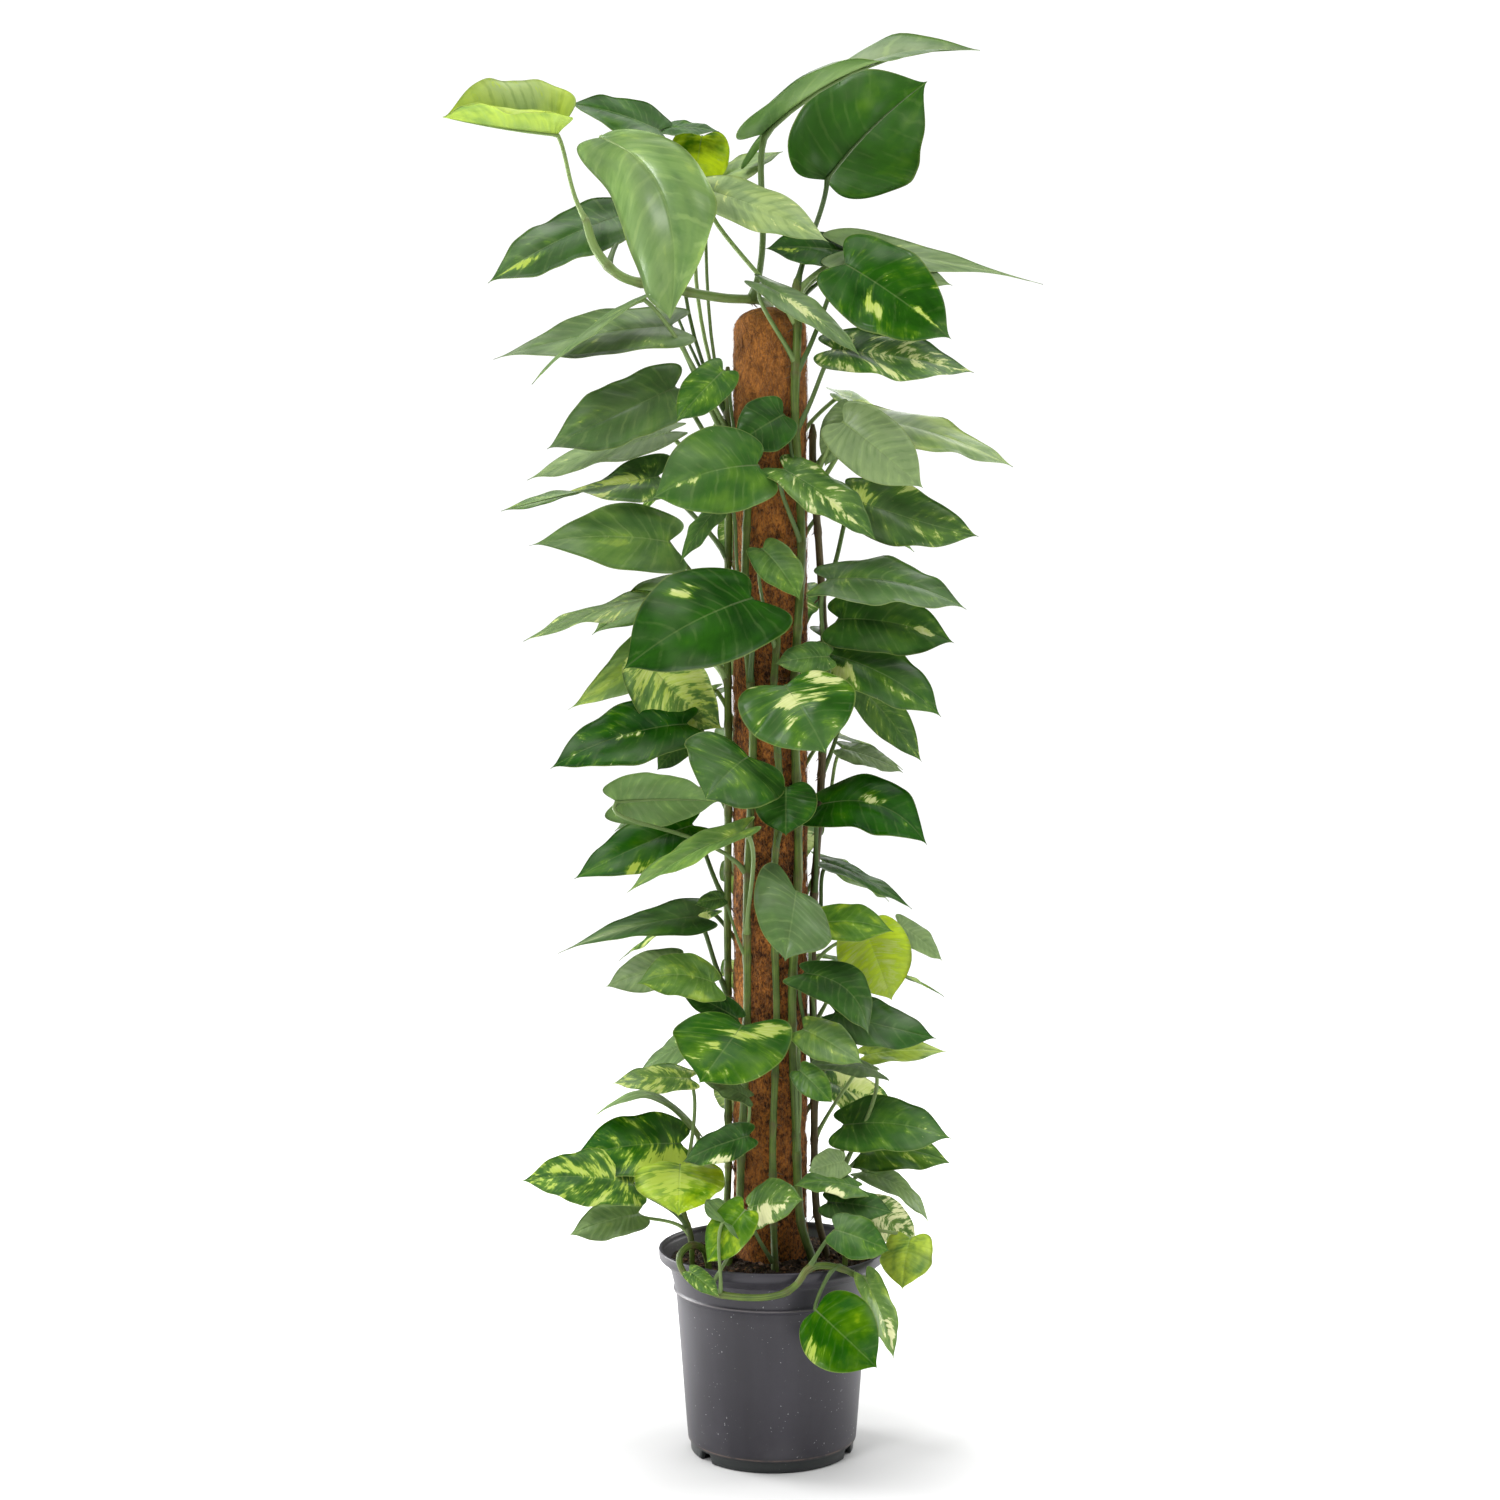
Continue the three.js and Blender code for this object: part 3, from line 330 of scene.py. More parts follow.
def coir_skin(u, v):
    """Height runs from the foot to the dome's top with u and the turn with v; lumps push the radius in and out,
    and bindings 96 mm apart pinch it."""
    rise = np.clip((u - DOME_START) / (1 - DOME_START), 0, 1)
    z = np.where(u < DOME_START, COIR_FOOT + (COIR_SHOULDER - COIR_FOOT) * u / DOME_START, COIR_SHOULDER)
    z = z + (COIR_TOP - COIR_SHOULDER - 0.0015) * np.sin(rise * np.pi / 2)
    turn = 2 * np.pi * v
    radius = (POLE_RADIUS - 0.0012) * np.cos(rise * np.pi / 2) ** 0.8
    at = np.stack([radius * np.cos(turn), radius * np.sin(turn), z + 0 * turn], -1)
    swell = 0.0011 * lumps(at, 0.060, COIR_SEED) + 0.0011 * lumps(at, 0.014, COIR_SEED + 1)
    bands = -0.0008 * np.exp(-(((z * 1000 + 9 * np.sin(turn)) % 96 - 48) / 5) ** 2)
    radius = radius * (1 + (swell + bands - 0.0004) / POLE_RADIUS)
    return np.stack([POLE_X + radius * np.cos(turn), radius * np.sin(turn), z + 0 * turn], -1)


def coir_fibres(count, seed):
    """Three-sided hairs of five rings: each bows along the skin between two near points, its ends lifting off."""
    draw = np.random.default_rng(seed)
    u, v = draw.uniform(0.012, 0.985, count), draw.random(count)
    run, slope = draw.uniform(0.008, 0.030, count), draw.normal(0, 1.1, count)
    du, dv = run * np.sin(slope) / COIR_LENGTH, run * np.cos(slope) / (2 * np.pi * POLE_RADIUS)
    share = np.linspace(0, 1, HAIR_RINGS)[None]
    curl = draw.normal(0, 0.35, (count, 1)) * np.sin(np.pi * share)
    us = np.clip(u[:, None] + du[:, None] * (share - 0.5) + curl * dv[:, None], 0.004, 0.992)
    vs = v[:, None] + dv[:, None] * (share - 0.5) - curl * du[:, None]
    line = coir_skin(us, vs)
    lift = draw.uniform(0.0003, 0.0010, (count, 1))
    lift = lift + draw.exponential(0.0011, (count, 1)).clip(0, 0.004) * (2 * share - 1) ** 4
    out = (line - [POLE_X, 0, 0]) * [1, 1, 0]
    out /= np.linalg.norm(out, axis=-1, keepdims=True) + 1e-9
    line = line + out * lift[..., None]
    along = np.gradient(line, axis=1)
    along /= np.linalg.norm(along, axis=-1, keepdims=True) + 1e-9
    side = np.cross(along, out)
    thick = draw.uniform(0.00010, 0.00024, (count, 1, 1, 1)) * np.array([0.6, 1, 1, 0.9, 0.4])[None, :, None, None]
    angle = 2 * np.pi * np.arange(HAIR_SIDES) / HAIR_SIDES
    across = np.cos(angle)[:, None] * out[:, :, None] + np.sin(angle)[:, None] * side[:, :, None]
    points = line[:, :, None] + thick * across
    size = HAIR_RINGS * HAIR_SIDES
    faces = quads(HAIR_RINGS, HAIR_SIDES)[None] + size * np.arange(count)[:, None, None]
    return points.reshape(-1, 3), faces.reshape(-1, 4), np.repeat(draw.random(count), size)


place, shader, coir = new_finish("coir", Specular_IOR_Level=0.25)
felt = place.stretched(1, 1, 0.6).noise(420, 5, 0.75)
curls = place.noise(105, 5, 0.65)
band = place.noise(16, 3)
tone = (felt * 0.60 + curls * 0.35 + band * 0.20).step(0.47, 0.68)
base = tone.mix((0.036, 0.010, 0.003), (0.53, 0.195, 0.038))
# Painted shade in the pits: dark brown where the curls sink in the bump.
base = (curls.step(0.44, 0.34) * 0.55).mix(base, (0.020, 0.006, 0.003))
height = place.parts()[2]
base = (height.step(0.98, 1.16) * 0.35).mix(base, (0.50, 0.20, 0.045))
feed(shader, Base_Color=base, Roughness=felt * 0.15 + 0.8, Normal=(felt + curls).bump(0.0030, 1.0))
u, v = np.meshgrid(np.linspace(0, 1, COIR_ROWS), np.arange(COIR_SIDES) / COIR_SIDES, indexing="ij")
sleeve = piece("coir_sleeve", coir_skin(u, v), quads(COIR_ROWS, COIR_SIDES)[:, ::-1], coir)
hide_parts("pole_coir")
place, shader, hair = new_finish("coir_hair", Specular_IOR_Level=0.3, Roughness=0.7)
feed(shader, Base_Color=place.mark("tone").mix((0.055, 0.020, 0.006), (0.42, 0.20, 0.075)))
points, faces, tones = coir_fibres(count=5600, seed=9)
hairs = piece("coir_hairs", points, faces, hair, marks={"tone": tones})
for made in (sleeve, hairs):
    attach(made, "root")

# The vines: pothos stems as thick as a pencil that climb the coir from the soil. Each carries stalked leaves, a
# swollen joint under every stalk and short brown rootlets that grip the coir. Stem, stalks and roots are one
# piece and the blades another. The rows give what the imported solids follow, in millimetres: each place as it
# shows from the eye on the upright plane through the pole, its height on a rule that starts 8 mm below the
# floor, and its depth behind that plane.
EYE = np.array([-23.5, -2200, 742])
AXIS = np.array([-2, 0, 0])
RULE_START = 8
CLING, GRIP = 45.5, 39.8
LOBE_DEPTH, LOBE_PLACE = 0.18, 0.08
BLADE_ROWS, BLADE_COLUMNS = 46, 23
STEM_SIDES, STALK_SIDES, PEG_SIDES, PEG_RINGS = 12, 8, 5, 5
STEM_STEPS, RING_SPACING, BURIED = 400, 4.5, 45
JOINT_FIRST, JOINT_SPACING, JOINT_CLEAR, JOINT_WIDTH = 38, 52, 22, 3.6
TIP_TAPER = 14
UV_SPAN = 200
BACK_LEAVES, BACK_FOOT, BACK_SPAN = 13, 330, 800


def unit(v):
    return v / (np.linalg.norm(v, axis=-1, keepdims=True) + 1e-12)


def seen(x, height, depth):
    """The point at a depth whose sight line from the eye passes the upright plane at x and height."""
    return EYE + (np.array([x, 0, height - RULE_START]) - EYE) * (depth - EYE[1]) / -EYE[1]


def climbing(*points):
    """Points round the pole from [degrees from the front to the right, distance from its axis, height], or
    without the distance where the stem lies on the coir."""
    turn, out, z = np.array([(p[0], *(p[1:-1] or (CLING,)), p[-1]) for p in points], float).T
    turn = np.radians(turn)
    return AXIS + np.stack([out * np.sin(turn), -out * np.cos(turn), z], -1)


def smooth_line(points, samples=60):
    """A centripetal Catmull-Rom curve: on each leg a cubic whose end slopes weigh the legs by root length."""
    points = np.vstack([2 * points[0] - points[1], points, 2 * points[-1] - points[-2]])
    legs = np.linalg.norm(np.diff(points, axis=0), axis=1)[:, None] ** 0.5
    a, b, c, d = (points[i:len(points) - 3 + i] for i in range(4))
    p, q, r = legs[:-2], legs[1:-1], legs[2:]
    first = ((b - a) / p - (c - a) / (p + q) + (c - b) / q) * q
    last = ((c - b) / q - (d - b) / (q + r) + (d - c) / r) * q
    t = (np.arange(samples) / samples)[:, None, None]
    curve = b + first * t + (3 * (c - b) - 2 * first - last) * t**2 + (2 * (b - c) + first + last) * t**3
    return np.vstack([curve.transpose(1, 0, 2).reshape(-1, 3), points[-2:-1]])


def evenly(line, count):
    """Points at equal steps along a line, with the length at each."""
    length = np.concatenate([[0], np.cumsum(np.linalg.norm(np.diff(line, axis=0), axis=1))])
    wanted = np.linspace(0, length[-1], count)
    return np.stack([np.interp(wanted, length, line[:, k]) for k in range(3)], -1), wanted


def carried(lines, normal):
    """Directions across lines: at each ring the last normal less its part along the line, so none twists."""
    along = unit(np.gradient(lines, axis=1))
    across = np.zeros_like(lines)
    for ring in range(lines.shape[1]):
        normal = unit(normal - np.sum(normal * along[:, ring], -1, keepdims=True) * along[:, ring])
        across[:, ring] = normal
    return across, np.cross(along, across)


def tubes(lines, radii, normal, sides, groove=0.0):
    """Rings round lines: centre plus radius times cosine and sine across it, hollowed on the normal's side."""
    up, side = carried(lines, normal)
    turn = 2 * np.pi * np.arange(sides) / sides
    shape = 1 - groove * np.exp(-((turn + np.pi) % (2 * np.pi) - np.pi) ** 2 / 0.35)
    spread = (radii[..., None] * shape)[..., None]
    rings = np.cos(turn)[:, None] * up[:, :, None] + np.sin(turn)[:, None] * side[:, :, None]
    return lines[:, :, None] + spread * rings


def tube_faces(count, rings, sides, start=0):
    """Side faces of each tube, and a fan of quads over both ends."""
    wall = quads(rings, sides)[:, ::-1]
    fan = np.arange(0, sides - 2, 2)
    cap = np.stack([fan * 0, fan + 1, fan + 2, (fan + 3) % sides], -1)
    whole = np.concatenate([wall, cap[:, ::-1], cap + (rings - 1) * sides])
    return (whole[None] + start + rings * sides * np.arange(count)[:, None, None]).reshape(-1, 4)


def patches(s, t, spots):
    """A sum of bell curves round spots, each given by its place across and along and its size."""
    bells = [np.exp(-((t - across) ** 2 + (2.2 * (s - along)) ** 2) / size**2) for across, along, size in spots]
    return sum(bells, 0 * s)


class Blade:
    """A leaf blade's frame: along its midrib, up from its face and across, turned and twisted by degrees."""

    def __init__(self, node, base, tip, width, turn, look, fold=0.1, arch=0.05, bow=0, taper=0, skew=0, twist=0,
                 lobe=LOBE_DEPTH, spots=(), pales=(), watched=EYE):
        self.node, self.base, self.look, self.spots, self.pales = node, base, look, spots, pales
        self.half, self.fold, self.arch, self.bow = width / 2, fold, arch, bow
        self.taper, self.skew, self.lobe = taper, skew, lobe
        self.length = np.linalg.norm(tip - base)
        self.along = unit(tip - base)
        to_eye = unit(watched - base)
        self.facing = unit(to_eye - (to_eye @ self.along) * self.along)
        sky = np.cross(self.along, self.facing)
        self.sky = -sky if sky[2] < 0 else sky
        self.turn, self.twist = turn, twist

    def up(self, a):
        """The face's direction at a share of the midrib: towards the eye, then turned and twisted."""
        angle = np.radians(self.turn + self.twist * (np.asarray(a) - 0.5))[..., None]
        return self.facing * np.cos(angle) + self.sky * np.sin(angle)

    def across(self, a):
        return np.cross(self.up(a), self.along)

    def at(self, station, b, lift=0.0):
        """Along the midrib by the station, aside by b, raised by the fold and the arch, with lift added."""
        share = np.abs(b) / self.half
        a = station + self.skew * (1 - station) * b / self.half
        bend = (4 * a * (1 - a) * self.length)[..., None]
        rise = (self.half * self.fold * (share - 0.5 * share**2) + lift)[..., None]
        return (self.base + a[..., None] * self.length * self.along + self.across(0.5) * self.bow * bend
                + self.up(0.5) * self.arch * bend + self.across(a) * b[..., None] + self.up(a) * rise)


def blade_grid(leaf, draw):
    """Rows run from notch to tip: the outline's half width is sin(pi s^0.7)^0.7, drawn in towards the tip, and
    each row's ends lie back by a lobe term that swells near the notch; columns run along the side veins, which
    leave the midrib at s^1.9 and bend forward to the outline. Two waves lift the rim, fine ones the side veins,
    a slow one the face, and the rim droops. The lower face lies 0.75 mm below at the midrib and 0.3 at the rim."""
    u = np.linspace(0, 1, BLADE_ROWS)[:, None]
    s = 0.001 + 0.997 * (0.6 * u**1.6 + 0.2 * (1 - np.cos(np.pi * u)))
    v = np.linspace(-1, 1, BLADE_COLUMNS)[None]
    t = v * (0.72 + 0.28 * v**2) + 0 * s
    s = s + 0 * t
    reach = np.sin(np.pi * s**0.7) ** (0.7 + 0.9 * s**8) * (1 - s) ** leaf.taper
    out = s - leaf.lobe * (s / LOBE_PLACE) ** 0.6 * np.exp(0.6 * (1 - s / LOBE_PLACE))
    share = np.abs(t)
    station = s**1.9 + (out - s**1.9) * share**1.3
    b = t * reach * leaf.half
    side = np.sign(t)
    wave = np.sin(2 * np.pi * (draw.uniform(1.6, 2.6) * s + draw.random()) + side * draw.uniform(0.4, 1.4))
    ripple = np.sin(2 * np.pi * (draw.uniform(4, 6) * s + draw.random()) - side)
    lift = leaf.half * reach * (0.075 * wave * share**2 + 0.02 * ripple * share**3)
    lift += 0.20 * np.sin(2 * np.pi * (9 * s + 0.5 * side)) * share * (1 - share) * 4 * reach
    swell = np.sin(2 * np.pi * (draw.uniform(0.8, 1.6) * s + 0.35 * side * share + draw.random()))
    lift += leaf.half * 0.05 * swell * share * (1 - share) * 4 * reach
    lift -= leaf.half * 0.10 * share**2.4 * reach
    lift -= 0.6 * (1 - s) * np.exp(-((b / 2.6) ** 2))
    return leaf.at(station, b, lift), leaf.at(station, b, lift - 0.75 * (1 - 0.6 * share)), s, t, b


def blades(leaves, seed):
    """Closed blades: the upper grid, the lower grid and the rim between them; the marks carry place and looks."""
    points, uv, table = [], [], []
    draw = np.random.default_rng(seed)
    for leaf in leaves:
        top, low, s, t, b = blade_grid(leaf, draw)
        points += [top.reshape(-1, 3), low.reshape(-1, 3)]
        # The third look is each leaf's painted sheen, raised further round its sheen patches.
        tone, streaks, pale, cream = leaf.look
        soft = np.clip(pale + patches(s, t, leaf.pales), 0, 1)
        splash = patches(s, t, leaf.spots)
        number = 9 * draw.random()
        for under in (0, 1):
            uv.append(np.stack([0.5 + b / UV_SPAN, s], -1).reshape(-1, 2))
            each = np.broadcast_arrays(s, t, number, tone, streaks, soft, cream, splash, under)
            table.append(np.stack(each, -1).reshape(-1, len(each)))
    index = np.arange(s.size).reshape(s.shape)
    ring = np.concatenate([index[0], index[1:, -1], index[-1, -2::-1], index[-2:0:-1, 0]])
    beside = np.roll(ring, -1)
    rim = np.stack([ring, ring + s.size, beside + s.size, beside], -1)
    upper = quads(*s.shape, closed=False)
    one = np.concatenate([upper, upper[:, ::-1] + s.size, rim])
    faces = one[None] + 2 * s.size * np.arange(len(leaves))[:, None, None]
    table = np.concatenate(table)
    marks = {"leaf": table[:, :3], "tint": table[:, 3:6]}
    marks |= {mark: table[:, 6 + k] for k, mark in enumerate(("cream", "splash", "under"))}
    return np.concatenate(points) * MM, faces.reshape(-1, 4), np.concatenate(uv), marks


def stalk_lines(leaves, roots):
    """From the stem a Bezier curve to the notch, then on under the midrib, thinning to the tip."""
    lines, radii, ups = [], [], []
    share = np.linspace(0, 1, 13)[:, None]
    ribs = np.array([0.05, 0.14, 0.28, 0.44, 0.62, 0.8, 0.93])
    for leaf, root in zip(leaves, roots):
        up = leaf.up(0.0)
        thick = 1.5 + 0.010 * leaf.length
        notch = leaf.base - up * thick
        span = np.linalg.norm(notch - root)
        away = unit((notch - root) * [1, 1, 0])
        leaving = root + away * 0.22 * span + [0, 0, 0.34 * span]
        arriving = notch - leaf.along * 0.12 * span - up * 0.12 * span - [0, 0, 0.1 * span]
        curve = (1 - share) ** 3 * root + 3 * (1 - share) ** 2 * share * leaving
        curve = curve + 3 * (1 - share) * share**2 * arriving + share**3 * notch
        under = leaf.at(ribs, 0 * ribs, -0.6 * (1 - ribs) - 0.5 - 0.35 * thick * (1 - ribs))
        lines.append(np.vstack([curve, under]))
        flare = 0.86 + 0.75 * np.exp(-share[:, 0] * span / 9) + 0.16 * np.exp(-(1 - share[:, 0]) * span / 7)
        radii.append(np.concatenate([thick * flare, 0.22 + 0.62 * thick * (1 - ribs)]))
        ups.append(up)
    return np.array(lines), np.array(radii), np.array(ups)


def rootlets(middles, draw):
    """Tapered pegs of five rings from a joint inwards and down to the coir, in threes."""
    starts = np.repeat(middles, 3, axis=0)
    inward = unit((AXIS - starts) * [1, 1, 0])
    side = np.stack([-inward[:, 1], inward[:, 0], 0 * inward[:, 0]], -1)
    spread = draw.uniform(-1, 1, (len(starts), 1))
    way = unit(inward * 0.35 + side * spread * 1.2 + [0, 0, -0.5])
    share = np.linspace(0, 1, PEG_RINGS)[None, :, None]
    far = np.hypot(starts[:, 0] - AXIS[0], starts[:, 1])[:, None]
    size = np.where(far < 60, draw.uniform(5, 13, (len(starts), 1)), 0.5)
    lines = starts[:, None] + way[:, None] * (share * size[:, None]) + inward[:, None] * share**2 * 2.2
    flat = (lines - AXIS) * [1, 1, 0]
    out = np.linalg.norm(flat, axis=-1, keepdims=True)
    lines = lines + flat / out * np.clip(GRIP - out, 0, 3)
    lines[:, :, 2] += draw.normal(0, 0.25, lines.shape[:2])
    radii = draw.uniform(0.6, 1.0, (len(starts), 1)) * np.array([1.2, 1, 0.85, 0.7, 0.35])
    return lines, radii + 0 * share[..., 0]


def leafy_stem(name, path, leaves, radius, seed, woody=0.0, fresh=0.0):
    """One vine: its stem, stalks and rootlets, and its blades, riding the root and standing for its solid."""
    path = np.asarray(path, float)
    line = smooth_line(np.vstack([path[0] - [0, 0, BURIED], path]))
    places, _ = evenly(line, STEM_STEPS + 1)
    nodes = np.array([leaf.node for leaf in leaves])
    near = np.argmin(np.abs(places[None, :, 2] - (nodes[:, None] - RULE_START)), axis=1)
    near = np.where(nodes < 1, np.round(nodes * STEM_STEPS).astype(int), near)
    roots = places[near]
    draw = np.random.default_rng(seed)
    middles, length = evenly(line, int(np.linalg.norm(np.diff(line, axis=0), axis=1).sum() / RING_SPACING))
    joints = near / STEM_STEPS * length[-1]
    bare = np.arange(JOINT_FIRST, length[-1], JOINT_SPACING)
    bare = bare[np.min(np.abs(bare[:, None] - joints), axis=1) > JOINT_CLEAR]
    beside = np.exp(-((length[:, None] - np.concatenate([joints, bare])) / JOINT_WIDTH) ** 2)
    swell = 0.20 * beside.sum(1).clip(0, 1.4)
    thin = radius * (0.93 + swell + 0.03 * np.sin(length / 17 + seed))
    thin *= 1 - 0.5 * np.clip((length - length[-1] + TIP_TAPER) / TIP_TAPER, 0, 1) ** 2
    start = unit(np.array([[0.3, -1, 0.1]]))
    stem = tubes(middles[None], thin[None], start, STEM_SIDES)
    stalks, thickness, ups = stalk_lines(leaves, roots)
    stalk = tubes(stalks, thickness, ups, STALK_SIDES, groove=0.22)
    pegs, fine = rootlets(np.vstack([roots, middles[np.searchsorted(length, bare)]]), draw)
    peg = tubes(pegs, fine, start + 0 * pegs[:, 0], PEG_SIDES)
    sizes = [a.size // 3 for a in (stem, stalk, peg)]
    rings = stalks.shape[1]
    faces = np.concatenate([
        tube_faces(1, len(middles), STEM_SIDES),
        tube_faces(len(leaves), rings, STALK_SIDES, sizes[0]),
        tube_faces(len(pegs), PEG_RINGS, PEG_SIDES, sizes[0] + sizes[1]),
    ])

    def each(*values):
        """Values for all points in turn: the stem's, the stalks' and the rootlets', repeated to fill each."""
        return np.concatenate([np.resize(value, size) for value, size in zip(values, sizes)])

    # The stalks take their lightness from their leaf's tone and painted sheen, so they carry the same painted light.
    shade = np.array([leaf.look[0] * 0.5 + 0.5 * leaf.look[2] for leaf in leaves])
    turn = each(np.arange(STEM_SIDES) / STEM_SIDES, np.arange(STALK_SIDES) / STALK_SIDES, 0.0)
    run = each(np.repeat(length, STEM_SIDES), np.repeat(np.linspace(0, 80, rings), STALK_SIDES), 0.0)
    marks = {
        "kind": each(0.0, 1.0, 2.0), "light": each(fresh, np.repeat(shade, rings * STALK_SIDES), 0.3),
        "wood": each(woody, woody, woody), "joint": each(np.repeat(swell, STEM_SIDES), 0.0, 0.0),
    }
    points = np.concatenate([a.reshape(-1, 3) for a in (stem, stalk, peg)]) * MM
    uv = np.stack([turn, run * 0.01], -1)
    stems = piece(name + "_stems", points, faces, vine_green, uv, marks)
    points, faces, uv, marks = blades(leaves, seed + 50)
    foliage = piece(name + "_blades", points, faces, pothos_leaf, uv, marks)
    for made in (stems, foliage):
        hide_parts(name)
        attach(made, "root")


place, shader, vine_green = new_finish("vine_green", Specular_IOR_Level=0.35)
kind, light, joint, wood = map(place.mark, ("kind", "light", "joint", "wood"))
along = place.node("TexCoord", out=2)
lines = along.stretched(16, 1.2, 1).noise(1, 3, 0.6)
stain = place.noise(45, 4)
stem_green = (lines * 0.6 + stain * 0.4).step(0.3, 0.7).mix((0.028, 0.055, 0.005), (0.130, 0.200, 0.028))
stalk_green = (light + stain * 0.3 - 0.1).step(0.05, 0.85).mix((0.035, 0.075, 0.010), (0.24, 0.34, 0.11))
stem_green = light.mix(stem_green, (0.20, 0.30, 0.085))
base = kind.step(0.3, 0.7).mix(stem_green, stalk_green)
bark = (lines * 0.7 + stain * 0.3).step(0.35, 0.65).mix((0.035, 0.022, 0.010), (0.13, 0.085, 0.040))
brown = (stain.step(0.52, 0.70) * 0.5 + joint * 2.0 + wood * 0.85) * (1 - kind.step(0.3, 0.7))
brown = brown.maths("MINIMUM", 0.92)
base = brown.mix(base, bark)
base = kind.step(1.3, 1.7).mix(base, (0.115, 0.062, 0.026))
bumps = (lines + stain * 0.6).bump(0.0009, 0.6)
feed(shader, Base_Color=base, Roughness=lines * 0.2 + 0.38 + wood * 0.2, Normal=bumps)

place, shader, pothos_leaf = new_finish("pothos_leaf", Specular_IOR_Level=0.03, Coat_Roughness=0.26)
cream, splash, under = map(place.mark, ("cream", "splash", "under"))
s, t, seed = place.mark("leaf", out=1).parts()
tone, streaks, pale = place.mark("tint", out=1).parts()
aside = (place.node("TexCoord", out=2).parts()[0] - 0.5).maths("ABSOLUTE")
veins = s.node("CombineXYZ", {0: s * 17, 1: t * 1.5, 2: seed})
fine = s.node("CombineXYZ", {0: s * 60, 1: t * 2.4, 2: seed + 3})
broad = s.node("CombineXYZ", {0: s * 4.5, 1: t * 1.6, 2: seed + 7})
streak = veins.noise(1, 4, 0.6)
hair = fine.noise(1, 3, 0.6)
cloud = broad.noise(1, 3, 0.5)
mottle = place.noise(55, 3)
# Large soft patches of wax: a little more roughness, relief and coat, and a painted sheen on the colour.
wax_and_painted_sheen = place.noise(13, 2).step(0.45, 0.70)
# Each leaf's green comes from its tone, varied at random. The tone is partly the leaf's own colour and partly
# painted light: lighter where light shines through the leaf from behind, darker where it lies in shade.
depth = tone + (cloud - 0.5) * 1.05 + (hair - 0.5) * 0.10 + (mottle - 0.5) * 0.18
green = depth.node("ValToRGB", {0: depth}, stops=[
    (0, (0.003, 0.034, 0.0005)), (0.33, (0.012, 0.078, 0.0005)), (0.66, (0.066, 0.168, 0.001)),
    (1, (0.46, 0.60, 0.012)),
])
level = streak * 0.62 + cloud * 0.38 + (streaks - 0.5) * 0.30 + splash * 0.24 + (hair - 0.5) * 0.16
yellow = level.step(0.585, 0.640)
lime = level.step(0.50, 0.62)
gold = (cream + (hair - 0.5) * 0.6 + (cloud - 0.5) * 0.5).step(0.1, 0.9).mix((0.36, 0.47, 0.06), (0.66, 0.67, 0.36))
# Painted sheen: a greyish wash in these patches, stronger on lighter leaves, for the reflection of the overhead
# light.
green = (wax_and_painted_sheen * 0.34 * (tone * 0.6 + 0.45)).mix(green, (0.17, 0.25, 0.11))
base = (lime * 0.40).mix(green, (0.16, 0.32, 0.012))
# Painted sheen: a pale grey-green wash for the reflection of the bright overhead light.
base = (pale * (cloud * 0.6 + 0.45)).mix(base, (0.30, 0.38, 0.19))
base = yellow.mix(base, gold)
fleck = (hair + (streaks - 0.5) * 0.16).step(0.68, 0.76)
base = (fleck * 0.6).mix(base, gold)
rib = (aside * UV_SPAN).step(1.3, 0.3) * (1 - s * 0.6)
# Light and dark lines along the side veins: partly the veins' own colour, partly painted highlight and shade on the
# quilted face, stronger on leaves with more painted sheen.
ray = (s * 78 + (cloud - 0.5) * 7 + t * 0.8).maths("SINE") * 0.5 + 0.5
light = ray.step(0.75, 1.0) * (0.06 + pale * 0.30) * streak.step(0.40, 0.62)
dark = (1 - ray).step(0.60, 1.0) * (0.10 + pale * 0.16) * streak.step(0.62, 0.38)
base = (light + rib * 0.20).mix(base, (0.34, 0.46, 0.16))
base = dark.mix(base, (0.010, 0.075, 0.004))
# Painted rim light: a thin lighter yellow-green margin round each blade.
painted_rim_light = t.maths("ABSOLUTE").step(0.965, 1.0)
base = (painted_rim_light * 0.45).mix(base, (0.28, 0.36, 0.10))
base = (under * (pale * 0.6 + 0.1)).mix(base, (0.17, 0.29, 0.08))
rough = hair * 0.14 + under * 0.16 + wax_and_painted_sheen * 0.08 + 0.22 + yellow * 0.05
bumps = ray * streak * 0.22 + cloud * 0.9 + wax_and_painted_sheen * 0.5 + hair * 0.10 - rib * (1 - under * 2) * 0.6
waxy = wax_and_painted_sheen * 0.30 + pale * 0.10 + 0.05
feed(shader, Base_Color=base, Roughness=rough, Coat_Weight=waxy, Normal=bumps.bump(0.0018, 0.5))


def leaf(node, base, tip, width, turn, look, *bends, twist=0, **more):
    """A row's blade. The row gives where the stalk leaves the stem, as a height or a share of its length, the places
    of notch and tip, the width, the turn in degrees, and in hundredths the looks (tone, streaks, painted sheen,
    cream), then fold, arch and bow. The tone is partly the leaf's own green and partly painted light and shade."""
    bends = np.array(bends) / 100
    more = {key: np.array(value) / 100 for key, value in more.items()}
    return Blade(node, seen(*base), seen(*tip), width, turn, np.array(look) / 100, *bends, twist=twist, **more)


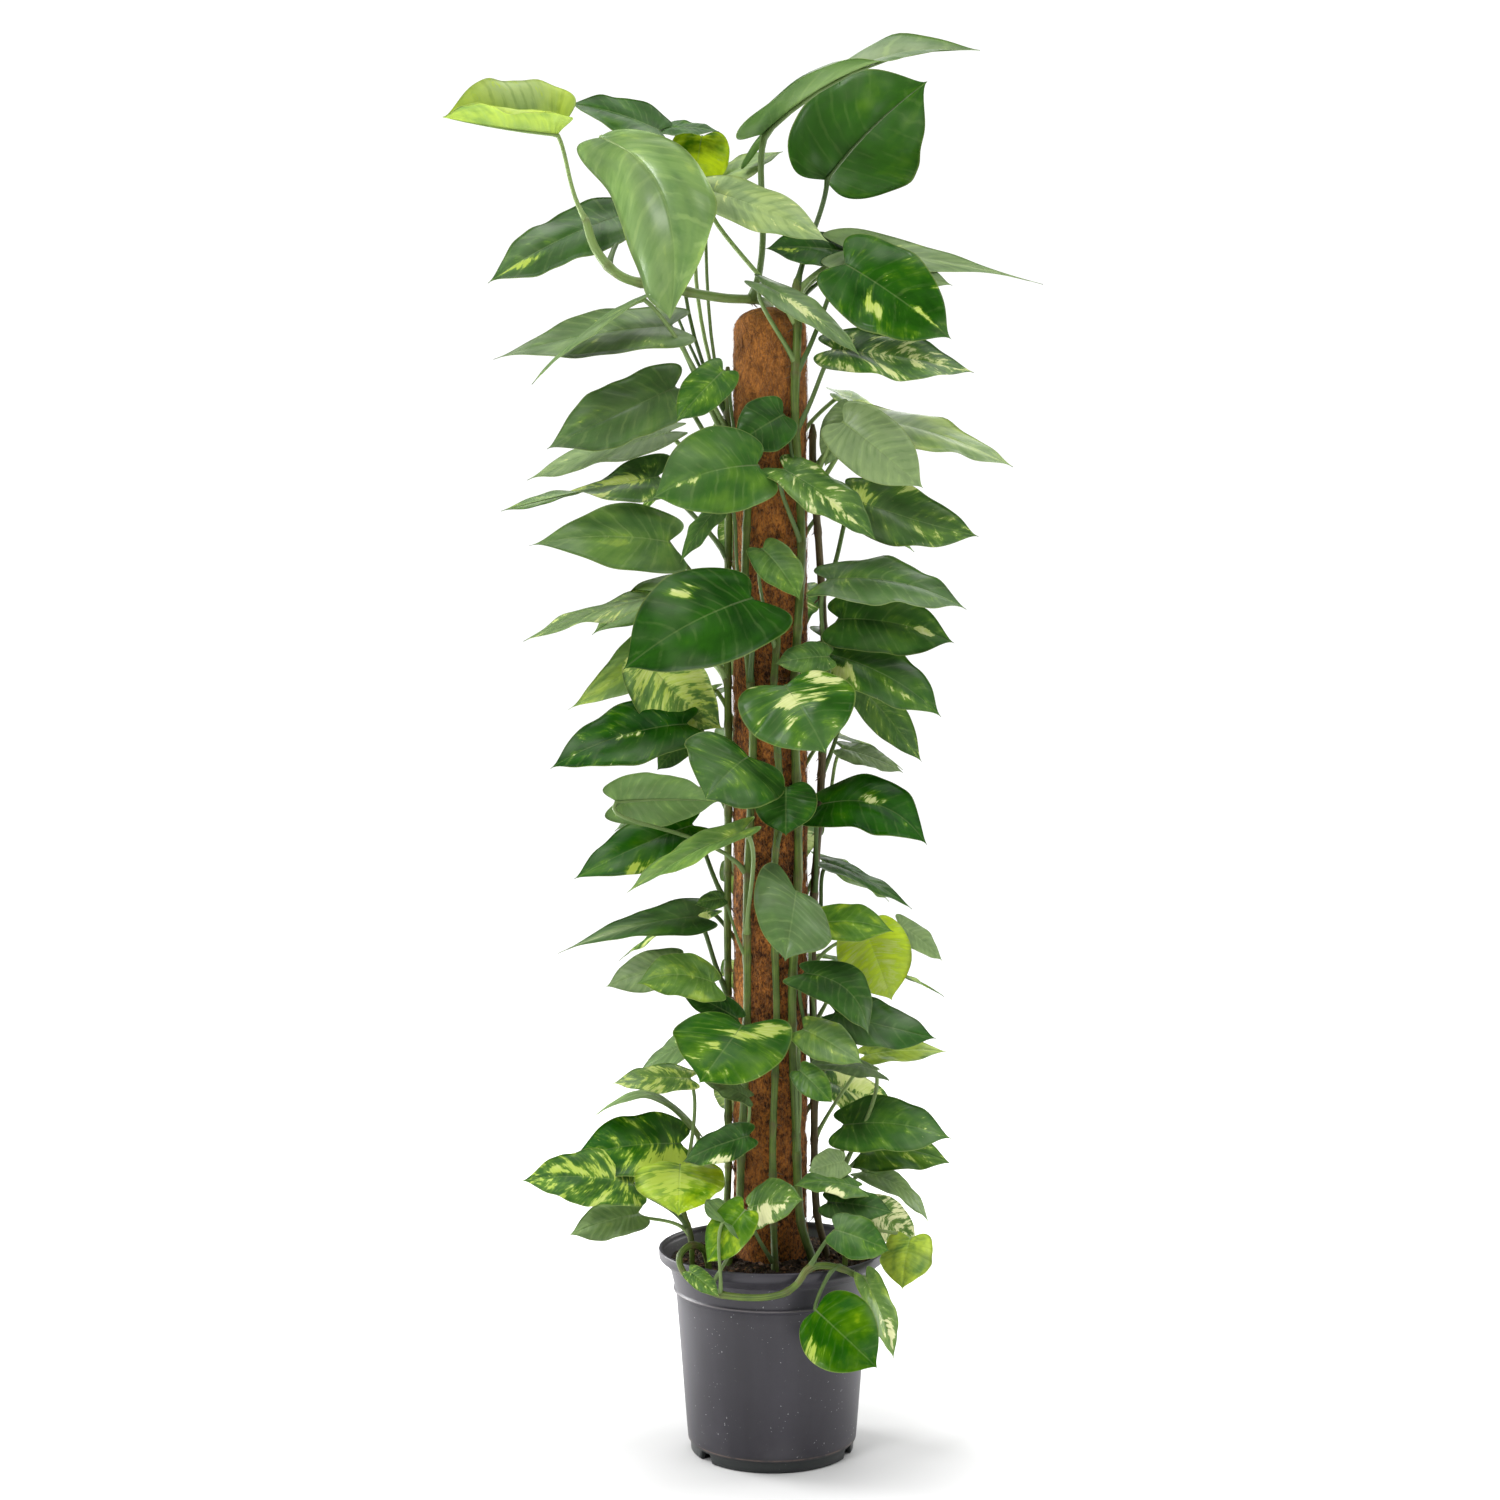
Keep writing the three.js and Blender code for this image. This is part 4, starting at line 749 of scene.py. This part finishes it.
def back_leaves(degrees, seed):
    """Stalks leave the stem at even heights and swing to either side of it by turns; the blades droop outwards.
    The places come from the same run of numbers as the solids', each a fixed multiple of the last and a step."""
    state, rows = seed, []
    looks = np.random.default_rng(seed)

    def draw():
        nonlocal state
        state = (state * 1664525 + 1013904223) % 4294967296
        return state / 4294967296

    for i in range(BACK_LEAVES):
        z = BACK_FOOT + BACK_SPAN * (i + 0.5 * draw()) / BACK_LEAVES
        side = 1 if i % 2 else -1
        angle = np.radians(degrees + side * 19 * (0.7 + 0.5 * draw()))
        outward = np.array([np.sin(angle), -np.cos(angle), 0])
        aside = np.array([-outward[1], outward[0], 0]) * side * (0.2 + 0.3 * draw())
        length = 95 + 55 * draw()
        lean = unit(outward + aside + [0, 0, -0.35 - 0.5 * draw()])
        base = AXIS + [0, 0, z + 30 + 16 * draw()] + outward * (74 + 22 * draw())
        turn = 30 + 30 * draw()
        look = (looks.uniform(0.15, 0.7), looks.uniform(0.1, 0.75), looks.uniform(0, 0.4), looks.uniform(0.1, 0.6))
        spots = [(looks.uniform(-0.7, 0.7), looks.uniform(0.2, 0.8), looks.uniform(0.2, 0.5))]
        rows.append(Blade(z, base, base + lean * length, 0.66 * length, turn, look, 0.14, 0.06,
                          watched=base + outward * 1000, spots=spots))
    return rows


# The back left vine, which clothes the side away from the front with leaves at even heights.
path = climbing(
    (-138, 60, 205), (-138, 48, 250), (-130, 420), (-142, 600), (-132, 800), (-144, 980), (-138, 1130)
)
leafy_stem("vine_back_left", path, back_leaves(-146, seed=5), radius=4.4, seed=101)

# The back right vine, its counterpart on the other side.
path = climbing(
    (138, 60, 205), (138, 48, 250), (144, 420), (132, 600), (142, 800), (132, 980), (140, 1130)
)
leafy_stem("vine_back_right", path, back_leaves(146, seed=8), radius=4.4, seed=102)

# The top vine: it climbs the back of the pole, crosses its head and leans out into the air with the
# highest leaves, among them the big one that spreads to the right.
path = np.vstack([
    climbing(
        (178, 62, 205), (176, 48, 250), (172, 46.5, 420), (188, 46.5, 640), (176, 46.5, 860), (190, 46.5, 1060),
        (184, 47, 1184), (180, 44, 1207), (182, 26, 1220)
    ),
    [
        (-14, 0, 1222), (-52, -16, 1221), (-108, -26, 1229), (-160, -26, 1242), (-186, -24, 1270),
        (-198, -20, 1305)
    ],
])
leaves = [
    leaf(0.998, (-228, 1408, -10), (-352, 1426, -20), 70, 61, (95, 50, 25, 5), 240, -2, pales=[(-70, 50, 60)]),
    leaf(0.905, (-184, 1404, -34), (-109, 1209, -92), 80, -30, (54, 25, 45, 20), 30, 4, 22, taper=-55, skew=10,
         lobe=4),
    leaf(0.955, (-165, 1320, 30), (-304, 1248, 20), 94, 54, (22, 20, 14, 10), 15, 6, 2, spots=[(30, 85, 35)]),
    leaf(0.835, (-10, 1407, -20), (223, 1497, -10), 116, 84, (42, 10, 10, 30), 50, 11, twist=-60,
         pales=[(0, 75, 70)]),
]
leafy_stem("vine_top", path, leaves, radius=5.2, seed=103, fresh=0.6)

# The left vine, whose leaves make most of the left outline, in tiers from the head of the pole down.
path = climbing(
    (-88, 60, 205), (-86, 48, 245), (-80, 400), (-92, 560), (-78, 720), (-90, 880), (-76, 1030), (-84, 1150)
)
leaves = [
    leaf(1105, (-120, 1412, 10), (-217, 1440, 10), 62, 55, (25, 10, 10, 10), 30),
    leaf(1103, (-116, 1414, 18), (-56, 1410, 20), 34, 66, (30, 10, 10, 10)),
    leaf(1107, (-75, 1405, 34), (-85, 1340, 34), 68, 10, (80, 35, 0, 10)),
    leaf(1101, (-75, 1348, 34), (12, 1389, 44), 55, 62, (70, 50, 70, 40), 20, 4),
    leaf(1085, (-138, 1233, -66), (-257, 1140, -76), 50, 82, (36, 40, 50, 30)),
    leaf(1075, (-108, 1203, -30), (-298, 1167, -30), 112, 58, (30, 35, 45, 30), 15, 4, taper=45),
    leaf(1045, (-104, 1137, 0), (-241, 1071, -10), 92, 42, (28, 20, 30, 20), 15, 6, 4),
    leaf(1005, (-110, 1090, 40), (-262, 1038, 50), 90, 72, (45, 25, 70, 40), 10, 3),
    leaf(955, (-122, 1042, 0), (-290, 1005, -10), 92, 88, (20, 50, 20, 30), 10, 2, 3, taper=20, twist=80,
         spots=[(0, 45, 40)], pales=[(0, 90, 50)]),
    leaf(885, (-110, 972, -20), (-260, 968, -40), 100, 28, (45, 25, 25, 20), 15, 6, -3, taper=50),
    leaf(825, (-110, 915, -2), (-266, 866, -14), 95, 78, (45, 60, 60, 40), 15, 4),
    leaf(820, (-110, 870, 56), (-218, 793, 60), 80, 34, (75, 50, 40, 20), 12, 5, 6, taper=50),
    leaf(735, (-135, 850, -4), (-52, 772, 0), 88, 20, (55, 85, 30, 30), bow=-8),
    leaf(695, (-92, 778, -30), (-237, 730, -40), 95, 48, (16, 36, 0, 70), 20, 5, -4, spots=[(10, 60, 18)]),
    leaf(685, (-90, 765, 4), (-123, 728, 4), 32, 20, (30, 10, 20, 10)),
    leaf(585, (-86, 670, 0), (-212, 612, -20), 80, 48, (33, 30, 0, 20), 15, 5, 2, spots=[(90, 60, 30)]),
    leaf(490, (-80, 573, -20), (-229, 533, -30), 96, 58, (20, 10, 10, 20), 20, taper=100, pales=[(0, 85, 50)]),
    leaf(435, (-100, 523, -30), (-178, 497, -46), 46, 22, (40, 20, 70, 30)),
]
leafy_stem("vine_left", path, leaves, radius=4.4, seed=104)

# The front left vine, which lies on the face of the pole and carries the large heart leaves there.
path = climbing(
    (-46, 62, 205), (-46, 48, 245), (-42, 320), (-33, 460), (-33, 590), (-24, 760), (-36, 900), (-28, 1060)
)
leaves = [
    leaf(1010, (-16, 1054, -88), (-128, 1018, -104), 92, 12, (37, 25, 12, 50), 12, 7, -6, spots=[(10, 80, 20)]),
    leaf(1032, (-52, 1155, -58), (-103, 1100, -72), 48, 20, (42, 45, 10, 20)),
    leaf(900, (-50, 1018, -58), (-98, 950, -60), 45, 60, (35, 20, 20, 20)),
    leaf(820, (-22, 912, -84), (-160, 835, -112), 108, 10, (15, 15, 3, 40), 10, 7, -4, skew=-12,
         spots=[(-60, 45, 22)]),
    leaf(670, (-25, 743, -74), (-72, 696, -124), 108, 0, (28, 40, 5, 30), 10, 6, -4, skew=-25),
    leaf(620, (-166, 695, -62), (-56, 695, -70), 64, 150, (30, 35, 35, 30), 15),
    leaf(555, (-30, 665, -84), (-155, 598, -92), 60, 66, (60, 35, 30, 20), 40, 3),
    leaf(530, (-52, 592, -50), (-82, 585, -55), 22, 30, (40, 20, 20, 20)),
    leaf(440, (-62, 502, -62), (-145, 500, -84), 60, 36, (60, 45, 20, 20), 15, 5, -10),
    leaf(410, (-37, 464, -56), (-101, 494, -66), 36, 34, (15, 10, 5, 10), 15),
    leaf(390, (-32, 456, -78), (-78, 394, -118), 108, 4, (40, 45, 5, 30), 10, 4, skew=-38, lobe=26,
         spots=[(10, 35, 28), (50, 15, 25), (-20, 60, 15)]),
    leaf(320, (-25, 380, -66), (-75, 397, -70), 40, 60, (30, 10, 50, 20)),
]
leafy_stem("vine_front_left", path, leaves, radius=4.6, seed=105)

# The front middle vine: the thin stem up the middle with the large variegated leaves.
path = climbing(
    (4, 64, 205), (4, 48, 240), (3, 330), (8, 460), (4, 600), (12, 700), (4, 800), (10, 866)
)
leaves = [
    leaf(855, (-10, 965, -66), (30, 910, -84), 50, 30, (48, 30, 20, 10), 25, 8),
    leaf(745, (14, 819, -86), (58, 746, -118), 114, 4, (35, 42, 5, 50), 10, 7, 2, skew=20,
         spots=[(-10, 45, 25), (40, 50, 22), (70, 20, 25)]),
    leaf(645, (15, 710, -64), (15, 658, -80), 66, 8, (20, 15, 5, 20)),
    leaf(535, (26, 599, -82), (14, 524, -118), 86, 0, (24, 20, 30, 30), 16, skew=42, lobe=20),
    leaf(215, (-25, 262, -70), (34, 270, -96), 62, 40, (50, 50, 20, 90), 10, 6, spots=[(-50, 50, 60)]),
]
leafy_stem("vine_front_mid", path, leaves, radius=4, seed=106)

# The front right vine: the thick green stem that shows beside the middle and feeds the upper right.
path = climbing(
    (44, 64, 205), (42, 48, 245), (36, 350), (30, 480), (40, 620), (34, 800), (46, 960), (34, 45.8, 1100),
    (38, 46, 1190), (34, 48, 1236)
)
leaves = [
    leaf(1236, (57, 1358, 64), (166, 1464, 104), 146, 156, (27, 5, 0, 10), 15, 4, -2, taper=-10, skew=24, lobe=10),
    leaf(1195, (-66, 1347, -56), (61, 1292, -80), 60, 40, (70, 50, 80, 40), 12),
    leaf(1222, (80, 1280, -14), (193, 1246, -34), 60, 42, (40, 40, 65, 30), 15, 5, -5),
    leaf(1216, (80, 1282, -10), (-8, 1285, -44), 52, 42, (20, 20, 5, 10), 12, spots=[(30, 85, 35)]),
    leaf(1228, (80, 1285, -26), (290, 1247, -6), 100, 50, (40, 35, 60, 30), 12, 3, taper=160, pales=[(0, 90, 40)]),
    leaf(1155, (-10, 1248, -66), (95, 1170, -78), 48, 58, (35, 30, 40, 60), spots=[(-20, 60, 45)]),
    leaf(1145, (78, 1269, -54), (192, 1188, -62), 100, 22, (25, 35, 2, 30), 12, 6,
         spots=[(-50, 50, 20), (10, 85, 20)]),
    leaf(1085, (65, 1178, -34), (216, 1153, -40), 92, 60, (34, 72, 12, 50), 18, 5, -4),
    leaf(965, (13, 1050, -63), (112, 973, -80), 84, 58, (40, 55, 20, 60), 20, spots=[(-30, 70, 30)]),
    leaf(1025, (12, 1108, -56), (-40, 1076, -60), 60, 14, (15, 10, 5, 10)),
    leaf(765, (60, 850, -68), (3, 842, -72), 44, 40, (35, 30, 20, 90)),
    leaf(345, (34, 452, -56), (97, 415, -80), 50, 30, (60, 30, 20, 20)),
    leaf(325, (30, 408, -66), (65, 373, -82), 32, 10, (45, 20, 10, 20)),
]
leafy_stem("vine_front_right", path, leaves, radius=5, seed=107)

# The right vine: an older stem, brown with cork, whose leaves make the right outline.
path = climbing(
    (84, 60, 205), (84, 50, 250), (90, 47, 400), (82, 46, 560), (90, 54, 700), (84, 58, 840), (90, 52, 960),
    (82, 46, 1040), (92, 1090)
)
leaves = [
    leaf(1025, (97, 1105, -10), (258, 1052, -20), 92, 68, (70, 30, 60, 20), 12, 4, 3),
    leaf(1035, (76, 1100, -40), (162, 1029, -60), 72, 16, (45, 25, 80, 40), 12),
    leaf(1047, (84, 1114, -20), (56, 1052, -14), 44, 20, (45, 20, 70, 30)),
    leaf(915, (88, 1018, 10), (221, 978, 0), 88, 44, (33, 45, 20, 30), 15, 5, -7, spots=[(10, 20, 35)]),
    leaf(835, (60, 932, -56), (208, 900, -66), 96, 60, (30, 25, 20, 20), 15, 6, 7),
    leaf(795, (72, 890, -30), (195, 864, -30), 84, 36, (30, 30, 10, 50), 12, 5, 4, spots=[(0, 85, 30)]),
    leaf(745, (64, 852, -24), (181, 785, -56), 86, 46, (35, 35, 10, 40), 15, 5, 5, spots=[(-60, 30, 30)]),
    leaf(725, (92, 820, 20), (160, 737, 16), 48, 28, (40, 50, 20, 30)),
    leaf(665, (75, 752, 0), (140, 726, 0), 45, 60, (40, 20, 70, 30)),
    leaf(595, (55, 693, -40), (166, 648, -60), 84, 42, (24, 20, 0, 50), 15, 6, 18, spots=[(10, 60, 20)]),
    leaf(545, (60, 630, 0), (150, 580, -4), 45, 70, (25, 15, 10, 20)),
    leaf(455, (100, 558, 10), (128, 482, 0), 80, 4, (115, 80, 15, 20), 12),
    leaf(520, (135, 565, 40), (182, 525, 40), 40, 50, (45, 20, 65, 30)),
    leaf(455, (48, 565, -54), (130, 556, -60), 55, 42, (60, 35, 10, 20), bow=6),
    leaf(405, (36, 512, -60), (103, 445, -72), 58, 30, (20, 15, 10, 20), 12, 5, 20),
    leaf(375, (68, 470, -20), (176, 442, -30), 70, 44, (20, 15, 5, 20), 15, 5, -6),
    leaf(335, (100, 425, 36), (187, 428, 34), 45, 58, (85, 50, 30, 20)),
]
leafy_stem("vine_right", path, leaves, radius=4.4, seed=108, woody=1.0)

# The young left shoot, low on the pole, with yellow mottled leaves over the rim.
path = [
    (-84, -34, 200), (-86, -36, 232), (-94, -34, 262), (-90, -30, 300),
]
leaves = [
    leaf(305, (-88, 400, -20), (-171, 394, -30), 46, 50, (55, 75, 30, 30)),
    leaf(300, (-80, 343, 14), (-196, 353, 10), 48, 77, (45, 30, 60, 30), 10, 30),
    leaf(296, (-98, 330, -6), (-214, 314, -22), 88, 38, (28, 56, 0, 5), 15, 7, spots=[(60, 30, 50)]),
    leaf(250, (-148, 288, -44), (-268, 290, -56), 80, 44, (32, 72, 10, 20), 20, 7),
    leaf(290, (-98, 308, -42), (-100, 252, -118), 94, 0, (85, 72, 0, 10), 8, 6, spots=[(-20, 50, 40)]),
    leaf(240, (-143, 256, -20), (-217, 232, -34), 52, 40, (50, 30, 60, 30)),
    leaf(302, (-26, 338, -72), (-96, 310, -62), 46, 40, (15, 20, 5, 80), spots=[(90, 50, 40)]),
]
leafy_stem("vine_low_left", path, leaves, radius=3.2, seed=109)

# The young right shoot, low on the pole, with leaves over the right of the rim.
path = [
    (76, -38, 200), (77, -38, 232), (72, -34, 268), (76, -30, 310),
]
leaves = [
    leaf(312, (112, 408, -10), (35, 412, -60), 44, 60, (30, 10, 50, 50), 10, 6),
    leaf(306, (77, 350, -14), (192, 335, -30), 80, 42, (35, 40, 10, 40), 12, 6, 4),
    leaf(290, (96, 320, 14), (192, 308, 10), 56, 40, (50, 50, 10, 20), bow=8),
    leaf(270, (98, 300, 20), (168, 244, 20), 46, 62, (45, 25, 60, 30), 10, 15),
    leaf(277, (92, 284, -70), (23, 285, -86), 52, 60, (40, 30, 20, 90), 10, 8, spots=[(90, 50, 40)]),
    leaf(291, (77, 311, -52), (38, 300, -62), 38, 30, (45, 20, 70, 30)),
    leaf(250, (60, 268, -66), (130, 256, -80), 46, 40, (20, 15, 10, 20)),
    leaf(240, (104, 262, -24), (155, 223, -34), 48, 24, (50, 85, 30, 80)),
    leaf(236, (147, 229, -64), (139, 174, -83), 64, 33, (85, 30, 30, 20), 12),
]
leafy_stem("vine_low_right", path, leaves, radius=3.2, seed=110)

# The trailing vine: it lies on the rim, hugs the wall outside it and comes back over, and its last leaves
# hang before the pot.
path = [
    (-66, -54, 200), (-72, -60, 224), (-86, -76, 231), (-96, -86, 222), (-92, -90, 208), (-80, -99, 200),
    (-58, -113, 192), (-12, -126, 191), (12, -126, 196), (25, -126, 206), (33, -122, 217), (42, -116, 220),
    (56, -110, 219), (72, -104, 214), (84, -96, 206), (96, -88, 198),
]
leaves = [
    leaf(0.42, (-88, 194, -104), (-56, 166, -124), 22, 20, (50, 60, 20, 30), 10, 6),
    leaf(0.5, (-52, 246, -128), (-34, 258, -80), 60, 20, (35, 20, 40, 20), 10, 6),
    leaf(0.46, (-30, 258, -128), (-70, 202, -118), 46, 18, (60, 20, 5, 10), 12, 6),
    leaf(0.79, (68, 238, -112), (126, 215, -112), 50, 30, (35, 20, 10, 20)),
    leaf(0.9, (47, 152, -128), (113, 90, -136), 80, 2, (40, 20, 0, 20), 10, 6, lobe=8, spots=[(-75, 35, 35)]),
    leaf(0.985, (100, 186, -98), (130, 100, -112), 46, 50, (60, 40, 30, 100), 30, spots=[(30, 80, 45)]),
]
leafy_stem("vine_trailing", path, leaves, radius=3.8, seed=111)

# The floor: a pale studio floor, which isn't part of the object, painted darker round the pot as a painted shadow.
FLOOR_HALF, FLOOR_LEVEL = 14, -0.0005
place, shader, studio = new_finish("studio_floor", Roughness=0.85)
far = place.node("VectorMath", {0: place}, out=1, operation="LENGTH")
# Painted shadow: darkest within 13 cm of the pot's axis, fading to the floor's own colour at 45 cm.
feed(shader, Base_Color=far.step(0.13, 0.45).mix((0.56, 0.56, 0.56), (0.88, 0.88, 0.88)))
corners = [(x * FLOOR_HALF, y * FLOOR_HALF, FLOOR_LEVEL) for x, y in ((-1, -1), (1, -1), (1, 1), (-1, 1))]
floor = piece("floor", corners, [[0, 1, 2, 3]], studio)

# The light: a bright overhead sky of white cloth that falls off towards the sides, and five large soft panels.
SKY_TOP, SKY_SIDE, SKY_SHOWN = 3.3, 0.10, 1.1
world = bpy.data.worlds.new("studio_light")
bpy.context.scene.world = world
world.use_nodes = True
background = world.node_tree.nodes["Background"]
background.inputs["Color"].default_value = (1, 1, 1, 1)
ways = Wire(world.node_tree, world.node_tree.nodes.new("ShaderNodeTexCoord").outputs["Generated"])
power = ways.parts()[2].step(0.62, 0.92) * SKY_TOP + SKY_SIDE
power = power + ways.node("LightPath") * (SKY_SHOWN - power)
world.node_tree.links.new(power.socket, background.inputs["Strength"])
for name, place, aim, size, watts in [
    ("panel_left", (-2.0, -2.6, 2.6), (0, 0, 0.7), 1.0, 60),
    ("panel_right", (2.8, -1.6, 1.8), (0, 0, 0.8), 0.9, 16),
    ("side_left", (-2.4, 1.1, 0.9), (0, 0, 0.5), 1.2, 110),
    ("side_right", (2.4, 1.1, 0.9), (0, 0, 0.5), 1.2, 32),
    ("panel_back", (0.6, 2.6, 2.6), (0, 0, 0.9), 1.6, 22),
]:
    lamp = bpy.data.lights.new(name, "AREA")
    lamp.shape, lamp.size, lamp.energy = "SQUARE", size, watts
    panel = bpy.data.objects.new(name, lamp)
    panel.location = place
    panel.rotation_euler = (Vector(aim) - Vector(place)).to_track_quat("-Z", "Y").to_euler()
    bpy.context.scene.collection.objects.link(panel)

# The camera: level, in front, at the photograph's height and angle.
lens = bpy.data.cameras.new("camera")
lens.lens, lens.sensor_width, lens.clip_end = 49.47, 36, 60
camera = bpy.data.objects.new("camera", lens)
camera.location = (-0.0235, -2.2, 0.742)
camera.rotation_euler = (np.pi / 2, 0, 0)
bpy.context.scene.collection.objects.link(camera)
bpy.context.scene.camera = camera
bpy.context.scene.view_settings.view_transform = "Standard"
